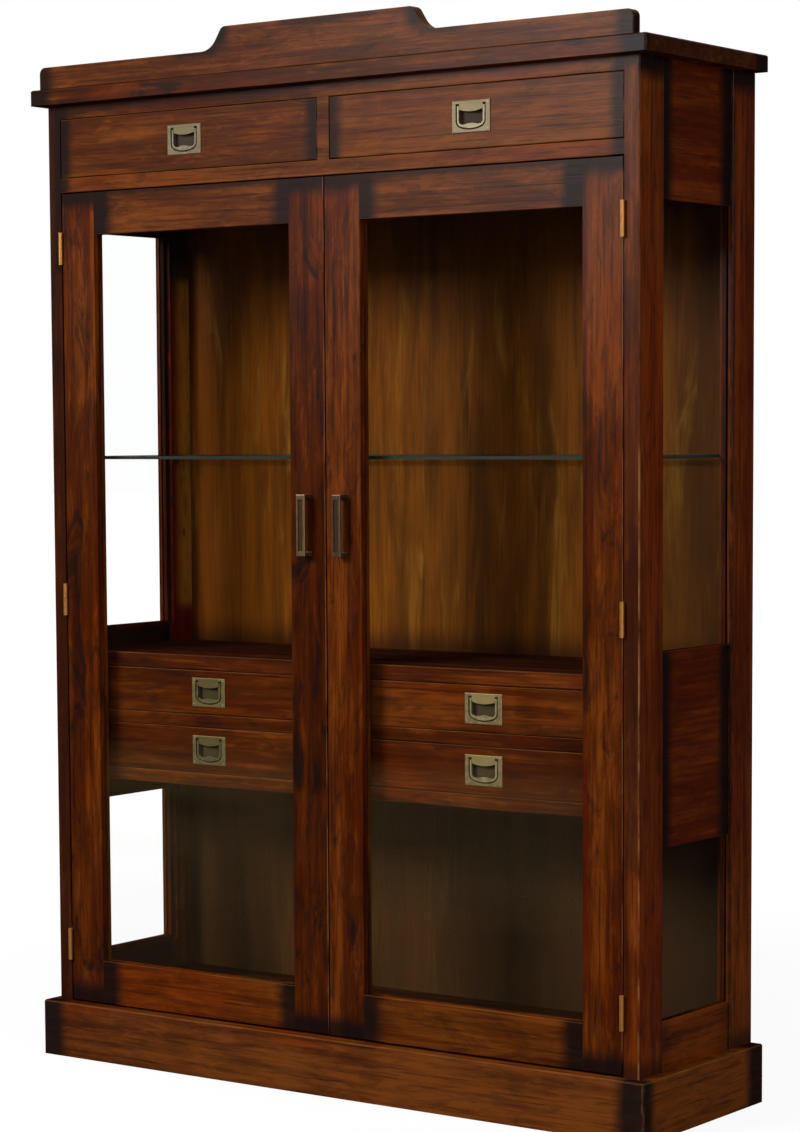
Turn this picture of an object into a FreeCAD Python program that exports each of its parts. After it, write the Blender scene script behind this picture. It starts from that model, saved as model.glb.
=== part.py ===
"""Display cabinet with two glazed doors, two top drawers and four inner drawers.

Millimetres, +Z up, the front looks along -Y, the origin lies on the floor under
the middle of the whole piece.  Every sub-part is written as parts/NODE.step.
"""

import math
import os

import FreeCAD
import Part

Vector = FreeCAD.Vector

# Carcass
BODY_WIDTH = 1300.0
BODY_DEPTH = 386.0
PLINTH_OVERHANG_FRONT = 24.0
PLINTH_OVERHANG_SIDE = 23.0
PLINTH_HEIGHT = 105.0
SLAB_OVERHANG_FRONT = 22.0
SLAB_OVERHANG_SIDE = 25.0
SLAB_BOTTOM = 1811.0
SLAB_TOP = 1840.0
STILE_THICKNESS = 30.0
FRONT_STILE_DEPTH = 77.0
REAR_STILE_FRONT = 310.0
SIDE_RAIL_RECESS = 5.0
SIDE_RAIL_THICKNESS = 20.0
BACK_PANEL_FRONT = 376.0
BACK_PANEL_THICKNESS = 8.0
BOARD_THICKNESS = 22.0
CORNER_RADIUS = 5.0
RIM_BEVEL = 2.5

# Heights of the side frame
SIDE_RAIL_FOOT = 85.0
WINDOW_LOW = (190.0, 487.0)
WINDOW_HIGH = (822.0, 1578.0)
GLASS_THICKNESS = 4.0
REBATE = 8.0
SIDE_GLASS_INSET = 9.0

# Front frame
DOOR_OPENING_TOP = 1647.7
DRAWER_OPENING = (1674.1, 1784.6)
MULLION_HALF_WIDTH = 12.6
FLOOR_BOARD = (105.0, 123.0)
DUST_BOARD = (1650.0, 1662.0)

# Runners and guides of the top drawers
MIDDLE_RUNNER_HALF = 40.0
MIDDLE_GUIDE_HALF = 22.0
END_RUNNER_START = 588.0
END_GUIDE_START = 606.0
GUIDE_HEIGHT = 26.0

# Crown board
CROWN_HALF_LENGTH = 650.0
CROWN_THICKNESS = 21.0
CROWN_SHOULDER = 1880.5
CROWN_TOP = 1922.0
CROWN_FLAT_HALF = 203.0
CROWN_FOOT_HALF = 259.0
CROWN_ROUND_RADIUS = 14.0
CROWN_HOLLOW_RADIUS = 40.0
CROWN_CORNER_RADIUS = 12.0

# Doors
DOOR_BOTTOM = 109.0
DOOR_TOP = 1645.0
DOOR_THICKNESS = 28.0
DOOR_HALF_GAP = 1.5
DOOR_EDGE = 617.3
DOOR_GLASS_INNER = 78.2
DOOR_GLASS_OUTER = 539.0
DOOR_GLASS_LOW = 190.0
DOOR_GLASS_HIGH = 1566.8
DOOR_REBATE = 10.0
DOOR_GLASS_DEPTH = 12.0

# Lift-off butt hinges
HINGE_HEIGHTS = (216.0, 880.0, 1543.0)
HINGE_LENGTH = 60.0
HINGE_AXIS_X = 618.8
HINGE_AXIS_DEPTH = -4.4
KNUCKLE_RADIUS = 4.0
PIN_RADIUS = 1.55
PIN_CLEARANCE = 0.05
KNUCKLE_GAP = 0.3
KNUCKLE_CAP = 3.0
LEAF_THICKNESS = 1.2

# Bar handles of the doors
BAR_CENTRE_X = 39.6
BAR_CENTRE_Z = 1029.0
BAR_HEIGHT = 110.0
BAR_WIDTH = 19.0
BAR_REACH = 24.0
BAR_THICKNESS = 4.0
CHANNEL_MARGIN = 4.5
CHANNEL_END = 9.0
CHANNEL_DEPTH = 1.8
LEG_FOOT = 8.0
LEG_TIP = 5.0

# Inner drawer bank
BANK_FRONT = 44.0
BANK_TOP_BOARD = (754.0, 781.0)
BANK_MIDDLE_RAIL = (647.0, 670.0)
BANK_BOTTOM_BOARD = (536.0, 560.0)
BANK_BAY = (50.0, 567.0)

# Glass shelf
SHELF = (1146.0, 1152.0)
SHELF_HALF_LENGTH = 617.0
SHELF_DEPTHS = (50.0, 345.0)
BRACKET_DEPTHS = (62.0, 330.0)

# Recessed drawer pulls
PULL_WIDTH = 78.0
PULL_HEIGHT = 54.0
PULL_PLATE = 2.4
PULL_PIVOT_HEIGHT = 17.0
PULL_PIVOT_DEPTH = -0.4
PULL_CUP_DEPTH = 8.0
CUP_HALF_WIDTH = 31.0
CUP_TOP = 22.3
CUP_BOTTOM = -22.6
CUP_CORNER_RADIUS = 13.0
CUP_BOW_RADIUS = 65.0
TONGUE_HALF_WIDTH = 24.2
TONGUE_TOP = 22.8
TONGUE_SIDE_FOOT = 12.5
TONGUE_MIDDLE_FOOT = 8.5
POCKET_CLEARANCE = 2.0
BAIL_CLEARANCE = 2.0
BAIL_LEG = (24.8, 29.0)
BAIL_GRIP_TOP = -13.2
BAIL_HALF_THICKNESS = 1.8
BAIL_PIN_RADIUS = 1.1
BAIL_PIN_TIP = 22.0

# Values that follow from the ones above
HALF_WIDTH = BODY_WIDTH / 2
INNER_HALF = HALF_WIDTH - STILE_THICKNESS
OVERALL_DEPTH = BODY_DEPTH + PLINTH_OVERHANG_FRONT
FACE = -OVERALL_DEPTH / 2 + PLINTH_OVERHANG_FRONT
RAIL_FACE = HALF_WIDTH - SIDE_RAIL_RECESS
RAIL_BACK = RAIL_FACE - SIDE_RAIL_THICKNESS
SIDE_GLASS_FACE = HALF_WIDTH - SIDE_GLASS_INSET


def box(x_range, depth_range, z_range):
    """Box between two x values, two depths behind the front face and two heights."""
    x0, x1 = min(x_range), max(x_range)
    d0, d1 = depth_range
    z0, z1 = z_range
    return Part.makeBox(x1 - x0, d1 - d0, z1 - z0, Vector(x0, FACE + d0, z0))


def fuse(shapes):
    """One clean solid from several overlapping ones."""
    result = shapes[0]
    for shape in shapes[1:]:
        result = result.fuse(shape)
    return result.removeSplitter()


def cut(shape, tools):
    """The shape with every tool taken away."""
    for tool in tools:
        shape = shape.cut(tool)
    return shape


def mirror(shape):
    """The same piece on the other side of the middle plane."""
    return shape.mirror(Vector(0, 0, 0), Vector(1, 0, 0))


def handed(shape, side):
    """The right-hand piece as drawn, or its mirror image for the left."""
    return shape if side > 0 else mirror(shape)


def both_sides(shape):
    """A right-hand piece and its mirror image."""
    return [shape, mirror(shape)]


def solids_of(shapes):
    """All single solids in a list of shapes."""
    found = []
    for shape in shapes:
        found.extend(shape.Solids)
    return found


def save(name, shapes):
    """Write one sub-part, made of one or more separate solids."""
    solids = solids_of(shapes)
    shape = solids[0] if len(solids) == 1 else Part.makeCompound(solids)
    shape.exportStep(f"parts/{name}.step")


def edge_lies(edge, x=None, depth=None, z=None):
    """True when a straight edge lies wholly at the given x, depth or height."""
    wanted = (x, None if depth is None else FACE + depth, z)
    for vertex in edge.Vertexes:
        for value, target in zip(vertex.Point, wanted):
            if target is not None and abs(value - target) > 0.01:
                return False
    return True


def edges_at(shape, places):
    """Every straight edge that lies at one of the given places."""
    return [edge for edge in shape.Edges if any(edge_lies(edge, **place) for place in places)]


def round_edges(shape, radius, *places):
    """Round the edges at the given places."""
    return shape.makeFillet(radius, edges_at(shape, places))


def ease_edges(shape, width, *places):
    """Break the edges at the given places with a small bevel, as sanded timber has."""
    return shape.makeChamfer(width, edges_at(shape, places))


def tangent_arc(start, direction, end):
    """Arc in a plane of constant depth that leaves start along direction and reaches end."""
    chord = end - start
    lean = math.atan2(chord.z, chord.x) - math.atan2(direction.z, direction.x)
    lean = math.atan2(math.sin(lean), math.cos(lean))
    angle = math.atan2(direction.z, direction.x) + lean / 2
    half = chord.Length / (2 * math.cos(lean / 2))
    middle = start + Vector(half * math.cos(angle), 0, half * math.sin(angle))
    return Part.Arc(start, middle, end).toShape()


def polygon_prism(points, z_range):
    """Upright prism over a polygon of (x, depth) corners."""
    z0, z1 = z_range
    corners = [Vector(x, FACE + depth, z0) for x, depth in points]
    corners.append(corners[0])
    face = Part.Face(Part.makePolygon(corners))
    return face.extrude(Vector(0, 0, z1 - z0))


# Plinth, floor and top


def plinth_boards():
    """Front and side skirting boards, mitred at the two front corners."""
    outer_x = HALF_WIDTH + PLINTH_OVERHANG_SIDE
    front = -PLINTH_OVERHANG_FRONT
    outer = box((-outer_x, outer_x), (front, BODY_DEPTH), (0, PLINTH_HEIGHT))
    corners = [edge for edge in outer.Edges if abs(edge.Length - PLINTH_HEIGHT) < 0.01]
    corners = [edge for edge in corners if edge_lies(edge, depth=front)]
    outer = outer.makeFillet(CORNER_RADIUS, corners)
    rim = [edge for edge in outer.Edges if edge_lies(edge, z=PLINTH_HEIGHT)]
    rim = [edge for edge in rim if not edge_lies(edge, depth=BODY_DEPTH)]
    outer = outer.makeChamfer(RIM_BEVEL, rim)
    inner = box((-HALF_WIDTH, HALF_WIDTH), (0, BODY_DEPTH + 1), (-1, PLINTH_HEIGHT + 1))
    ring = outer.cut(inner)
    heights = (-1, PLINTH_HEIGHT + 1)
    front_zone = polygon_prism(
        [(-outer_x, front), (outer_x, front), (HALF_WIDTH, 0), (-HALF_WIDTH, 0)], heights
    )
    side_zone = polygon_prism(
        [(HALF_WIDTH, 0), (outer_x, front), (outer_x, BODY_DEPTH), (HALF_WIDTH, BODY_DEPTH)], heights
    )
    return [ring.common(front_zone), *both_sides(ring.common(side_zone))]


def base_rails():
    """Rails that join the feet of the side frames behind the plinth and at the back."""
    span = (-INNER_HALF, INNER_HALF)
    front = box(span, (0, BOARD_THICKNESS), (0, PLINTH_HEIGHT))
    back = box(span, (BACK_PANEL_FRONT - BOARD_THICKNESS, BACK_PANEL_FRONT), (0, PLINTH_HEIGHT))
    return [front, back]


def board_between_sides(front, z_range):
    """Full-width board whose ends reach the side rails between the stiles."""
    middle = box((-INNER_HALF, INNER_HALF), (front, BACK_PANEL_FRONT), z_range)
    tongue_depths = (FRONT_STILE_DEPTH, REAR_STILE_FRONT)
    tongue = box((-RAIL_BACK, RAIL_BACK), tongue_depths, z_range)
    return fuse([middle, tongue])


def floor_board():
    """Bottom of the lower compartment, which the doors also close against."""
    board = board_between_sides(DOOR_THICKNESS + 2, FLOOR_BOARD)
    return ease_edges(board, 1.2, {"depth": DOOR_THICKNESS + 2, "z": FLOOR_BOARD[1]})


def top_slab():
    """Top board with rounded corners and upper edges."""
    half = HALF_WIDTH + SLAB_OVERHANG_SIDE
    front = -SLAB_OVERHANG_FRONT
    slab = box((-half, half), (front, BODY_DEPTH), (SLAB_BOTTOM, SLAB_TOP))
    slab = round_edges(slab, CORNER_RADIUS, {"x": half, "depth": front}, {"x": -half, "depth": front})
    rim = [edge for edge in slab.Edges if edge_lies(edge, z=SLAB_TOP)]
    rim = [edge for edge in rim if not edge_lies(edge, depth=BODY_DEPTH)]
    return slab.makeChamfer(RIM_BEVEL, rim)


def crown_board():
    """Upright board on the front edge of the slab with a raised middle between two ogees."""
    y = FACE - SLAB_OVERHANG_FRONT
    run = CROWN_FOOT_HALF - CROWN_FLAT_HALF
    rise = CROWN_SHOULDER + CROWN_HOLLOW_RADIUS - (CROWN_TOP - CROWN_ROUND_RADIUS)
    reach = math.hypot(run, rise)
    slope = math.asin((CROWN_ROUND_RADIUS + CROWN_HOLLOW_RADIUS) / reach) - math.atan2(rise, run)
    end = CROWN_HALF_LENGTH
    corner = CROWN_CORNER_RADIUS

    def half_outline(side):
        def point(x, z):
            return Vector(side * x, y, z)

        outward = Vector(side, 0, 0)
        crest = point(CROWN_FLAT_HALF, CROWN_TOP)
        crest_end = point(
            CROWN_FLAT_HALF + CROWN_ROUND_RADIUS * math.sin(slope),
            CROWN_TOP - CROWN_ROUND_RADIUS * (1 - math.cos(slope)),
        )
        hollow = point(CROWN_FOOT_HALF, CROWN_SHOULDER)
        hollow_start = point(
            CROWN_FOOT_HALF - CROWN_HOLLOW_RADIUS * math.sin(slope),
            CROWN_SHOULDER + CROWN_HOLLOW_RADIUS * (1 - math.cos(slope)),
        )
        shoulder_end = point(end - corner, CROWN_SHOULDER)
        corner_end = point(end, CROWN_SHOULDER - corner)
        return [
            tangent_arc(crest, outward, crest_end),
            Part.makeLine(crest_end, hollow_start),
            tangent_arc(hollow, -outward, hollow_start),
            Part.makeLine(hollow, shoulder_end),
            tangent_arc(shoulder_end, outward, corner_end),
            Part.makeLine(corner_end, point(end, SLAB_TOP)),
        ]

    edges = [
        Part.makeLine(Vector(-CROWN_FLAT_HALF, y, CROWN_TOP), Vector(CROWN_FLAT_HALF, y, CROWN_TOP)),
        Part.makeLine(Vector(-end, y, SLAB_TOP), Vector(end, y, SLAB_TOP)),
        *half_outline(1),
        *half_outline(-1),
    ]
    board = Part.Face(Part.Wire(Part.__sortEdges__(edges))).extrude(Vector(0, CROWN_THICKNESS, 0))
    front_top = [
        edge
        for edge in board.Edges
        if edge_lies(edge, depth=-SLAB_OVERHANG_FRONT) and not edge_lies(edge, z=SLAB_TOP)
    ]
    return board.makeChamfer(1.5, front_top)


# Side frames, glass and back


def side_stiles():
    """Four corner posts, the glass set in rebates on their inner side."""
    front = box((INNER_HALF, HALF_WIDTH), (0, FRONT_STILE_DEPTH), (0, SLAB_BOTTOM))
    front = round_edges(front, 3.0, {"x": HALF_WIDTH, "depth": 0})
    front = ease_edges(front, 1.2, {"x": HALF_WIDTH, "depth": FRONT_STILE_DEPTH})
    rear = box((INNER_HALF, HALF_WIDTH), (REAR_STILE_FRONT, BODY_DEPTH), (0, SLAB_BOTTOM))
    rear = ease_edges(rear, 1.2, {"x": HALF_WIDTH, "depth": REAR_STILE_FRONT})
    back_rebate = box(
        (INNER_HALF - 1, INNER_HALF + 11), (BACK_PANEL_FRONT, BODY_DEPTH + 1), (-1, SLAB_BOTTOM + 1)
    )
    rear = rear.cut(back_rebate)
    for low, high in (WINDOW_LOW, WINDOW_HIGH):
        depths = (FRONT_STILE_DEPTH - REBATE, REAR_STILE_FRONT + REBATE)
        rebate = box((INNER_HALF - 1, SIDE_GLASS_FACE), depths, (low - REBATE, high + REBATE))
        front = front.cut(rebate)
        rear = rear.cut(rebate)
    return [*both_sides(front), *both_sides(rear)]


def side_rails():
    """Top, middle and bottom boards of each side frame, set back behind the posts."""
    depths = (FRONT_STILE_DEPTH, REAR_STILE_FRONT)
    spans = (
        (SIDE_RAIL_FOOT, WINDOW_LOW[0]),
        (WINDOW_LOW[1], WINDOW_HIGH[0]),
        (WINDOW_HIGH[1], SLAB_BOTTOM),
    )
    rails = []
    for low, high in spans:
        rail = box((RAIL_BACK, RAIL_FACE), depths, (low, high))
        for edge_height in (low, high):
            if edge_height in (SIDE_RAIL_FOOT, SLAB_BOTTOM):
                continue
            rail = ease_edges(rail, 1.0, {"x": RAIL_FACE, "z": edge_height})
            rebate = box(
                (RAIL_BACK - 1, SIDE_GLASS_FACE), depths, (edge_height - REBATE, edge_height + REBATE)
            )
            rail = rail.cut(rebate)
        rails.extend(both_sides(rail))
    return rails


def side_glass():
    """Two panes in each side frame."""
    x_range = (SIDE_GLASS_FACE - GLASS_THICKNESS, SIDE_GLASS_FACE)
    depths = (FRONT_STILE_DEPTH - REBATE + 1, REAR_STILE_FRONT + REBATE - 1)
    panes = []
    for low, high in (WINDOW_LOW, WINDOW_HIGH):
        panes.extend(both_sides(box(x_range, depths, (low - REBATE + 1, high + REBATE - 1))))
    return panes


def side_glass_beads():
    """Square strips that hold each side pane in its rebate from the inside."""
    outer_x = SIDE_GLASS_FACE - GLASS_THICKNESS
    x_range = (outer_x - REBATE, outer_x)
    front = FRONT_STILE_DEPTH
    rear = REAR_STILE_FRONT
    beads = []
    for low, high in (WINDOW_LOW, WINDOW_HIGH):
        ends = (low - REBATE, high + REBATE)
        beads.extend(both_sides(box(x_range, (front - REBATE, front), ends)))
        beads.extend(both_sides(box(x_range, (rear, rear + REBATE), ends)))
        beads.extend(both_sides(box(x_range, (front, rear), (low - REBATE, low))))
        beads.extend(both_sides(box(x_range, (front, rear), (high, high + REBATE))))
    return beads


def back_panel():
    """Thin back let into the rear posts."""
    depths = (BACK_PANEL_FRONT, BACK_PANEL_FRONT + BACK_PANEL_THICKNESS)
    return box((-INNER_HALF - 10, INNER_HALF + 10), depths, (30, SLAB_BOTTOM))


# Front frame and top drawer housing


def front_frame():
    """Frieze rail, rail under the top drawers and the short post between the drawers."""
    span = (-INNER_HALF, INNER_HALF)
    depths = (0, BOARD_THICKNESS)
    frieze = box(span, depths, (DRAWER_OPENING[1], SLAB_BOTTOM))
    waist = box(span, depths, (DOOR_OPENING_TOP, DRAWER_OPENING[0]))
    post = box((-MULLION_HALF_WIDTH, MULLION_HALF_WIDTH), depths, DRAWER_OPENING)
    frieze = ease_edges(frieze, 1.0, {"depth": 0, "z": DRAWER_OPENING[1]})
    waist = ease_edges(
        waist, 1.0, {"depth": 0, "z": DRAWER_OPENING[0]}, {"depth": 0, "z": DOOR_OPENING_TOP}
    )
    return [frieze, waist, post]


def dust_board():
    """Thin board that closes the show space under the top drawers."""
    return board_between_sides(BOARD_THICKNESS, DUST_BOARD)


def top_drawer_runners():
    """Runners under the top drawers and the low guides beside them."""
    depths = (BOARD_THICKNESS, BACK_PANEL_FRONT)
    runner_top = DRAWER_OPENING[0]
    runner_heights = (DUST_BOARD[1], runner_top)
    guide_heights = (runner_top, runner_top + GUIDE_HEIGHT)
    strips = [box((-MIDDLE_RUNNER_HALF, MIDDLE_RUNNER_HALF), depths, runner_heights)]
    strips.append(box((-MIDDLE_GUIDE_HALF, MIDDLE_GUIDE_HALF), depths, guide_heights))
    strips.extend(both_sides(box((END_RUNNER_START, INNER_HALF), depths, runner_heights)))
    strips.extend(both_sides(box((END_GUIDE_START, INNER_HALF), depths, guide_heights)))
    return strips


# Inner drawer bank


def bank_top_board():
    """Display board on top of the inner drawers."""
    board = board_between_sides(BANK_FRONT, BANK_TOP_BOARD)
    return ease_edges(
        board,
        2.0,
        {"depth": BANK_FRONT, "z": BANK_TOP_BOARD[0]},
        {"depth": BANK_FRONT, "z": BANK_TOP_BOARD[1]},
    )


def bank_bottom_board():
    """Board under the inner drawers."""
    board = board_between_sides(BANK_FRONT, BANK_BOTTOM_BOARD)
    return ease_edges(
        board,
        1.2,
        {"depth": BANK_FRONT, "z": BANK_BOTTOM_BOARD[0]},
        {"depth": BANK_FRONT, "z": BANK_BOTTOM_BOARD[1]},
    )


def bank_front_members():
    """Centre post, end posts and middle rails around the inner drawer fronts."""
    heights = (BANK_BOTTOM_BOARD[1], BANK_TOP_BOARD[0])
    depths = (BANK_FRONT, BANK_FRONT + BOARD_THICKNESS)
    inner, outer = BANK_BAY
    members = [box((-inner, inner), depths, heights)]
    members.extend(both_sides(box((outer, INNER_HALF), depths, heights)))
    rail = box((inner, outer), depths, BANK_MIDDLE_RAIL)
    rail = ease_edges(
        rail,
        1.0,
        {"depth": BANK_FRONT, "z": BANK_MIDDLE_RAIL[0]},
        {"depth": BANK_FRONT, "z": BANK_MIDDLE_RAIL[1]},
    )
    members.extend(both_sides(rail))
    return members


def bank_partitions():
    """Upright boards behind the posts that guide the inner drawers."""
    heights = (BANK_BOTTOM_BOARD[1], BANK_TOP_BOARD[0])
    depths = (BANK_FRONT + BOARD_THICKNESS, BACK_PANEL_FRONT)
    inner, outer = BANK_BAY
    thickness = 12.0
    boards = both_sides(box((inner - thickness, inner), depths, heights))
    boards.extend(both_sides(box((outer, outer + thickness), depths, heights)))
    return boards


def bank_runners():
    """Strips that carry the two upper inner drawers."""
    depths = (BANK_FRONT + BOARD_THICKNESS, BACK_PANEL_FRONT)
    thickness = 12.0
    width = 14.0
    heights = (BANK_MIDDLE_RAIL[1] - thickness, BANK_MIDDLE_RAIL[1])
    inner, outer = BANK_BAY
    strips = both_sides(box((inner, inner + width), depths, heights))
    strips.extend(both_sides(box((outer - width, outer), depths, heights)))
    return strips


# Glass shelf


def glass_shelf():
    """Loose glass shelf with dubbed corners."""
    shelf = box((-SHELF_HALF_LENGTH, SHELF_HALF_LENGTH), SHELF_DEPTHS, SHELF)
    corners = [edge for edge in shelf.Edges if abs(edge.Length - (SHELF[1] - SHELF[0])) < 0.01]
    return shelf.makeChamfer(3.0, corners)


def shelf_brackets():
    """Four bent metal brackets screwed to the posts under the shelf ends."""
    seat = 11.0
    drop = 13.0
    sheet = 1.5
    width = 12.0
    top = SHELF[0]
    profile = [
        (INNER_HALF - seat, top),
        (INNER_HALF, top),
        (INNER_HALF, top - drop),
        (INNER_HALF - sheet, top - drop),
        (INNER_HALF - sheet, top - sheet),
        (INNER_HALF - seat, top - sheet),
    ]
    brackets = []
    for depth in BRACKET_DEPTHS:
        corners = [Vector(x, FACE + depth - width / 2, z) for x, z in profile]
        corners.append(corners[0])
        bracket = Part.Face(Part.makePolygon(corners)).extrude(Vector(0, width, 0))
        brackets.extend(both_sides(bracket))
    return brackets


# Doors, drawn for the right-hand side


def door_members():
    """Stiles and rails of one door with eased front edges and a glass rebate."""
    low, high = DOOR_GLASS_LOW, DOOR_GLASS_HIGH
    inner, outer = DOOR_GLASS_INNER, DOOR_GLASS_OUTER
    depths = (0, DOOR_THICKNESS)
    meeting = box((DOOR_HALF_GAP, inner), depths, (DOOR_BOTTOM, DOOR_TOP))
    hanging = box((outer, DOOR_EDGE), depths, (DOOR_BOTTOM, DOOR_TOP))
    bottom = box((inner, outer), depths, (DOOR_BOTTOM, low))
    top = box((inner, outer), depths, (high, DOOR_TOP))
    meeting = ease_edges(meeting, 1.2, {"x": DOOR_HALF_GAP, "depth": 0})
    hanging = ease_edges(hanging, 1.0, {"x": DOOR_EDGE, "depth": 0})
    bottom = ease_edges(bottom, 1.0, {"depth": 0, "z": low})
    top = ease_edges(top, 1.0, {"depth": 0, "z": high})
    rebate = box(
        (inner - DOOR_REBATE, outer + DOOR_REBATE),
        (DOOR_GLASS_DEPTH, DOOR_THICKNESS + 1),
        (low - DOOR_REBATE, high + DOOR_REBATE),
    )
    return [meeting.cut(rebate), hanging.cut(rebate)], [bottom.cut(rebate), top.cut(rebate)]


def door_glass():
    """Single pane of one door."""
    margin = DOOR_REBATE - 1
    return box(
        (DOOR_GLASS_INNER - margin, DOOR_GLASS_OUTER + margin),
        (DOOR_GLASS_DEPTH, DOOR_GLASS_DEPTH + GLASS_THICKNESS),
        (DOOR_GLASS_LOW - margin, DOOR_GLASS_HIGH + margin),
    )


def door_beads():
    """Strips with one sloping face that hold the door pane from behind."""
    start = DOOR_GLASS_DEPTH + GLASS_THICKNESS
    depths = (start, DOOR_THICKNESS - 1)
    low, high = DOOR_GLASS_LOW, DOOR_GLASS_HIGH
    inner, outer = DOOR_GLASS_INNER, DOOR_GLASS_OUTER
    ends = (low - DOOR_REBATE, high + DOOR_REBATE)
    left = box((inner - DOOR_REBATE, inner), depths, ends)
    right = box((outer, outer + DOOR_REBATE), depths, ends)
    bottom = box((inner, outer), depths, (low - DOOR_REBATE, low))
    top = box((inner, outer), depths, (high, high + DOOR_REBATE))
    back = depths[1]
    chamfer = 3.0
    left = left.makeChamfer(chamfer, [e for e in left.Edges if edge_lies(e, x=inner, depth=back)])
    right = right.makeChamfer(chamfer, [e for e in right.Edges if edge_lies(e, x=outer, depth=back)])
    bottom = bottom.makeChamfer(chamfer, [e for e in bottom.Edges if edge_lies(e, depth=back, z=low)])
    top = top.makeChamfer(chamfer, [e for e in top.Edges if edge_lies(e, depth=back, z=high)])
    return [left, right, bottom, top]


def bar_handle():
    """Flat bar with a sunk channel, carried by two tapered legs."""
    x0 = BAR_CENTRE_X - BAR_WIDTH / 2
    x1 = BAR_CENTRE_X + BAR_WIDTH / 2
    z0 = BAR_CENTRE_Z - BAR_HEIGHT / 2
    z1 = BAR_CENTRE_Z + BAR_HEIGHT / 2
    grip = box((x0, x1), (-BAR_REACH, -BAR_REACH + BAR_THICKNESS), (z0, z1))
    front_edges = [edge for edge in grip.Edges if edge_lies(edge, depth=-BAR_REACH)]
    grip = grip.makeChamfer(1.2, front_edges)
    channel = box(
        (x0 + CHANNEL_MARGIN, x1 - CHANNEL_MARGIN),
        (-BAR_REACH - 1, -BAR_REACH + CHANNEL_DEPTH),
        (z0 + CHANNEL_END, z1 - CHANNEL_END),
    )
    grip = grip.cut(channel)
    grip_side = -BAR_REACH + BAR_THICKNESS - 0.5
    legs = []
    for outer_z, inward in ((z0, 1), (z1, -1)):
        profile = [
            (grip_side, outer_z),
            (0.0, outer_z),
            (0.0, outer_z + inward * LEG_FOOT),
            (-4.0, outer_z + inward * (LEG_TIP + 1.0)),
            (grip_side, outer_z + inward * LEG_TIP),
        ]
        corners = [Vector(x0 + 1, FACE + depth, z) for depth, z in profile]
        corners.append(corners[0])
        face = Part.Face(Part.makePolygon(corners))
        legs.append(face.extrude(Vector(BAR_WIDTH - 2, 0, 0)))
    return fuse([grip, *legs])


def barrel(z_range, radius):
    """Upright round bar on the hinge axis."""
    base = Vector(HINGE_AXIS_X, FACE + HINGE_AXIS_DEPTH, z_range[0])
    return Part.makeCylinder(radius, z_range[1] - z_range[0], base)


def hinge_parts(centre):
    """Door leaf and frame leaf of one lift-off hinge; the pin stands on the frame's knuckle."""
    low = centre - HINGE_LENGTH / 2
    high = centre + HINGE_LENGTH / 2
    leaf_depths = (0.1, 20.0)
    tab_depths = (HINGE_AXIS_DEPTH, 0.2)
    door_x = (DOOR_EDGE, DOOR_EDGE + LEAF_THICKNESS)
    frame_x = (INNER_HALF - LEAF_THICKNESS, INNER_HALF)
    door_span = (centre + KNUCKLE_GAP, high)
    frame_span = (low, centre)
    door_leaf = fuse(
        [
            box(door_x, leaf_depths, (low, high)),
            barrel(door_span, KNUCKLE_RADIUS),
            box(door_x, tab_depths, door_span),
        ]
    )
    bore = barrel((centre, high - KNUCKLE_CAP + KNUCKLE_GAP), PIN_RADIUS + PIN_CLEARANCE)
    frame_leaf = fuse(
        [
            box(frame_x, leaf_depths, (low, high)),
            barrel(frame_span, KNUCKLE_RADIUS),
            box(frame_x, tab_depths, frame_span),
            barrel((low + KNUCKLE_CAP, high - KNUCKLE_CAP), PIN_RADIUS),
        ]
    )
    return door_leaf.cut(bore), frame_leaf


def catch_plate():
    """Steel strike on the back of the door top rail."""
    plate_thickness = 1.0
    x_range = (34.0, 66.0)
    z_range = (1630.0, 1642.0)
    return box(x_range, (DOOR_THICKNESS, DOOR_THICKNESS + plate_thickness), z_range)


def magnetic_catch():
    """Catch body under the dust board, just behind the strike."""
    x_range = (28.0, 72.0)
    underside = 1628.0
    front = DOOR_THICKNESS + 1.5
    body = box(x_range, (front, front + 14.0), (underside, DUST_BOARD[0]))
    lower = [edge for edge in body.Edges if edge_lies(edge, z=underside)]
    return body.makeChamfer(1.5, lower)


# Recessed pulls, drawn around the middle of a drawer front


def bowed_outline(inset):
    """Bottom arc and corner arcs of the cup, all moved inward by the inset."""
    half_width = CUP_HALF_WIDTH - inset
    bottom = CUP_BOTTOM + inset
    corner = CUP_CORNER_RADIUS - inset
    bow = CUP_BOW_RADIUS - inset
    bow_centre = bottom + bow
    corner_x = half_width - corner
    drop = math.sqrt((bow - corner) ** 2 - corner_x**2)
    share = bow / (bow - corner)
    meet_x = corner_x * share
    meet_z = bow_centre - drop * share
    ends = [Vector(side * meet_x, 0, meet_z) for side in (-1, 1)]
    starts = [Vector(side * half_width, 0, bow_centre - drop) for side in (-1, 1)]
    arcs = [Part.Arc(ends[0], Vector(0, 0, bottom), ends[1]).toShape()]
    for start, end in zip(starts, ends):
        arcs.append(tangent_arc(start, Vector(0, 0, -1), end))
    return arcs, starts


def cup_outline():
    """U-shaped outline with a bowed bottom, as a face on the drawer front."""
    edges, corners = bowed_outline(0)
    tops = [Vector(corner.x, 0, CUP_TOP) for corner in corners]
    edges.append(Part.makeLine(tops[0], tops[1]))
    for top, corner in zip(tops, corners):
        edges.append(Part.makeLine(top, corner))
    return Part.Face(Part.Wire(Part.__sortEdges__(edges)))


def prism(face, depth_range):
    """Extrude a face drawn at depth zero between two depths."""
    d0, d1 = depth_range
    moved = face.copy()
    moved.translate(Vector(0, d0, 0))
    return moved.extrude(Vector(0, d1 - d0, 0))


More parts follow.
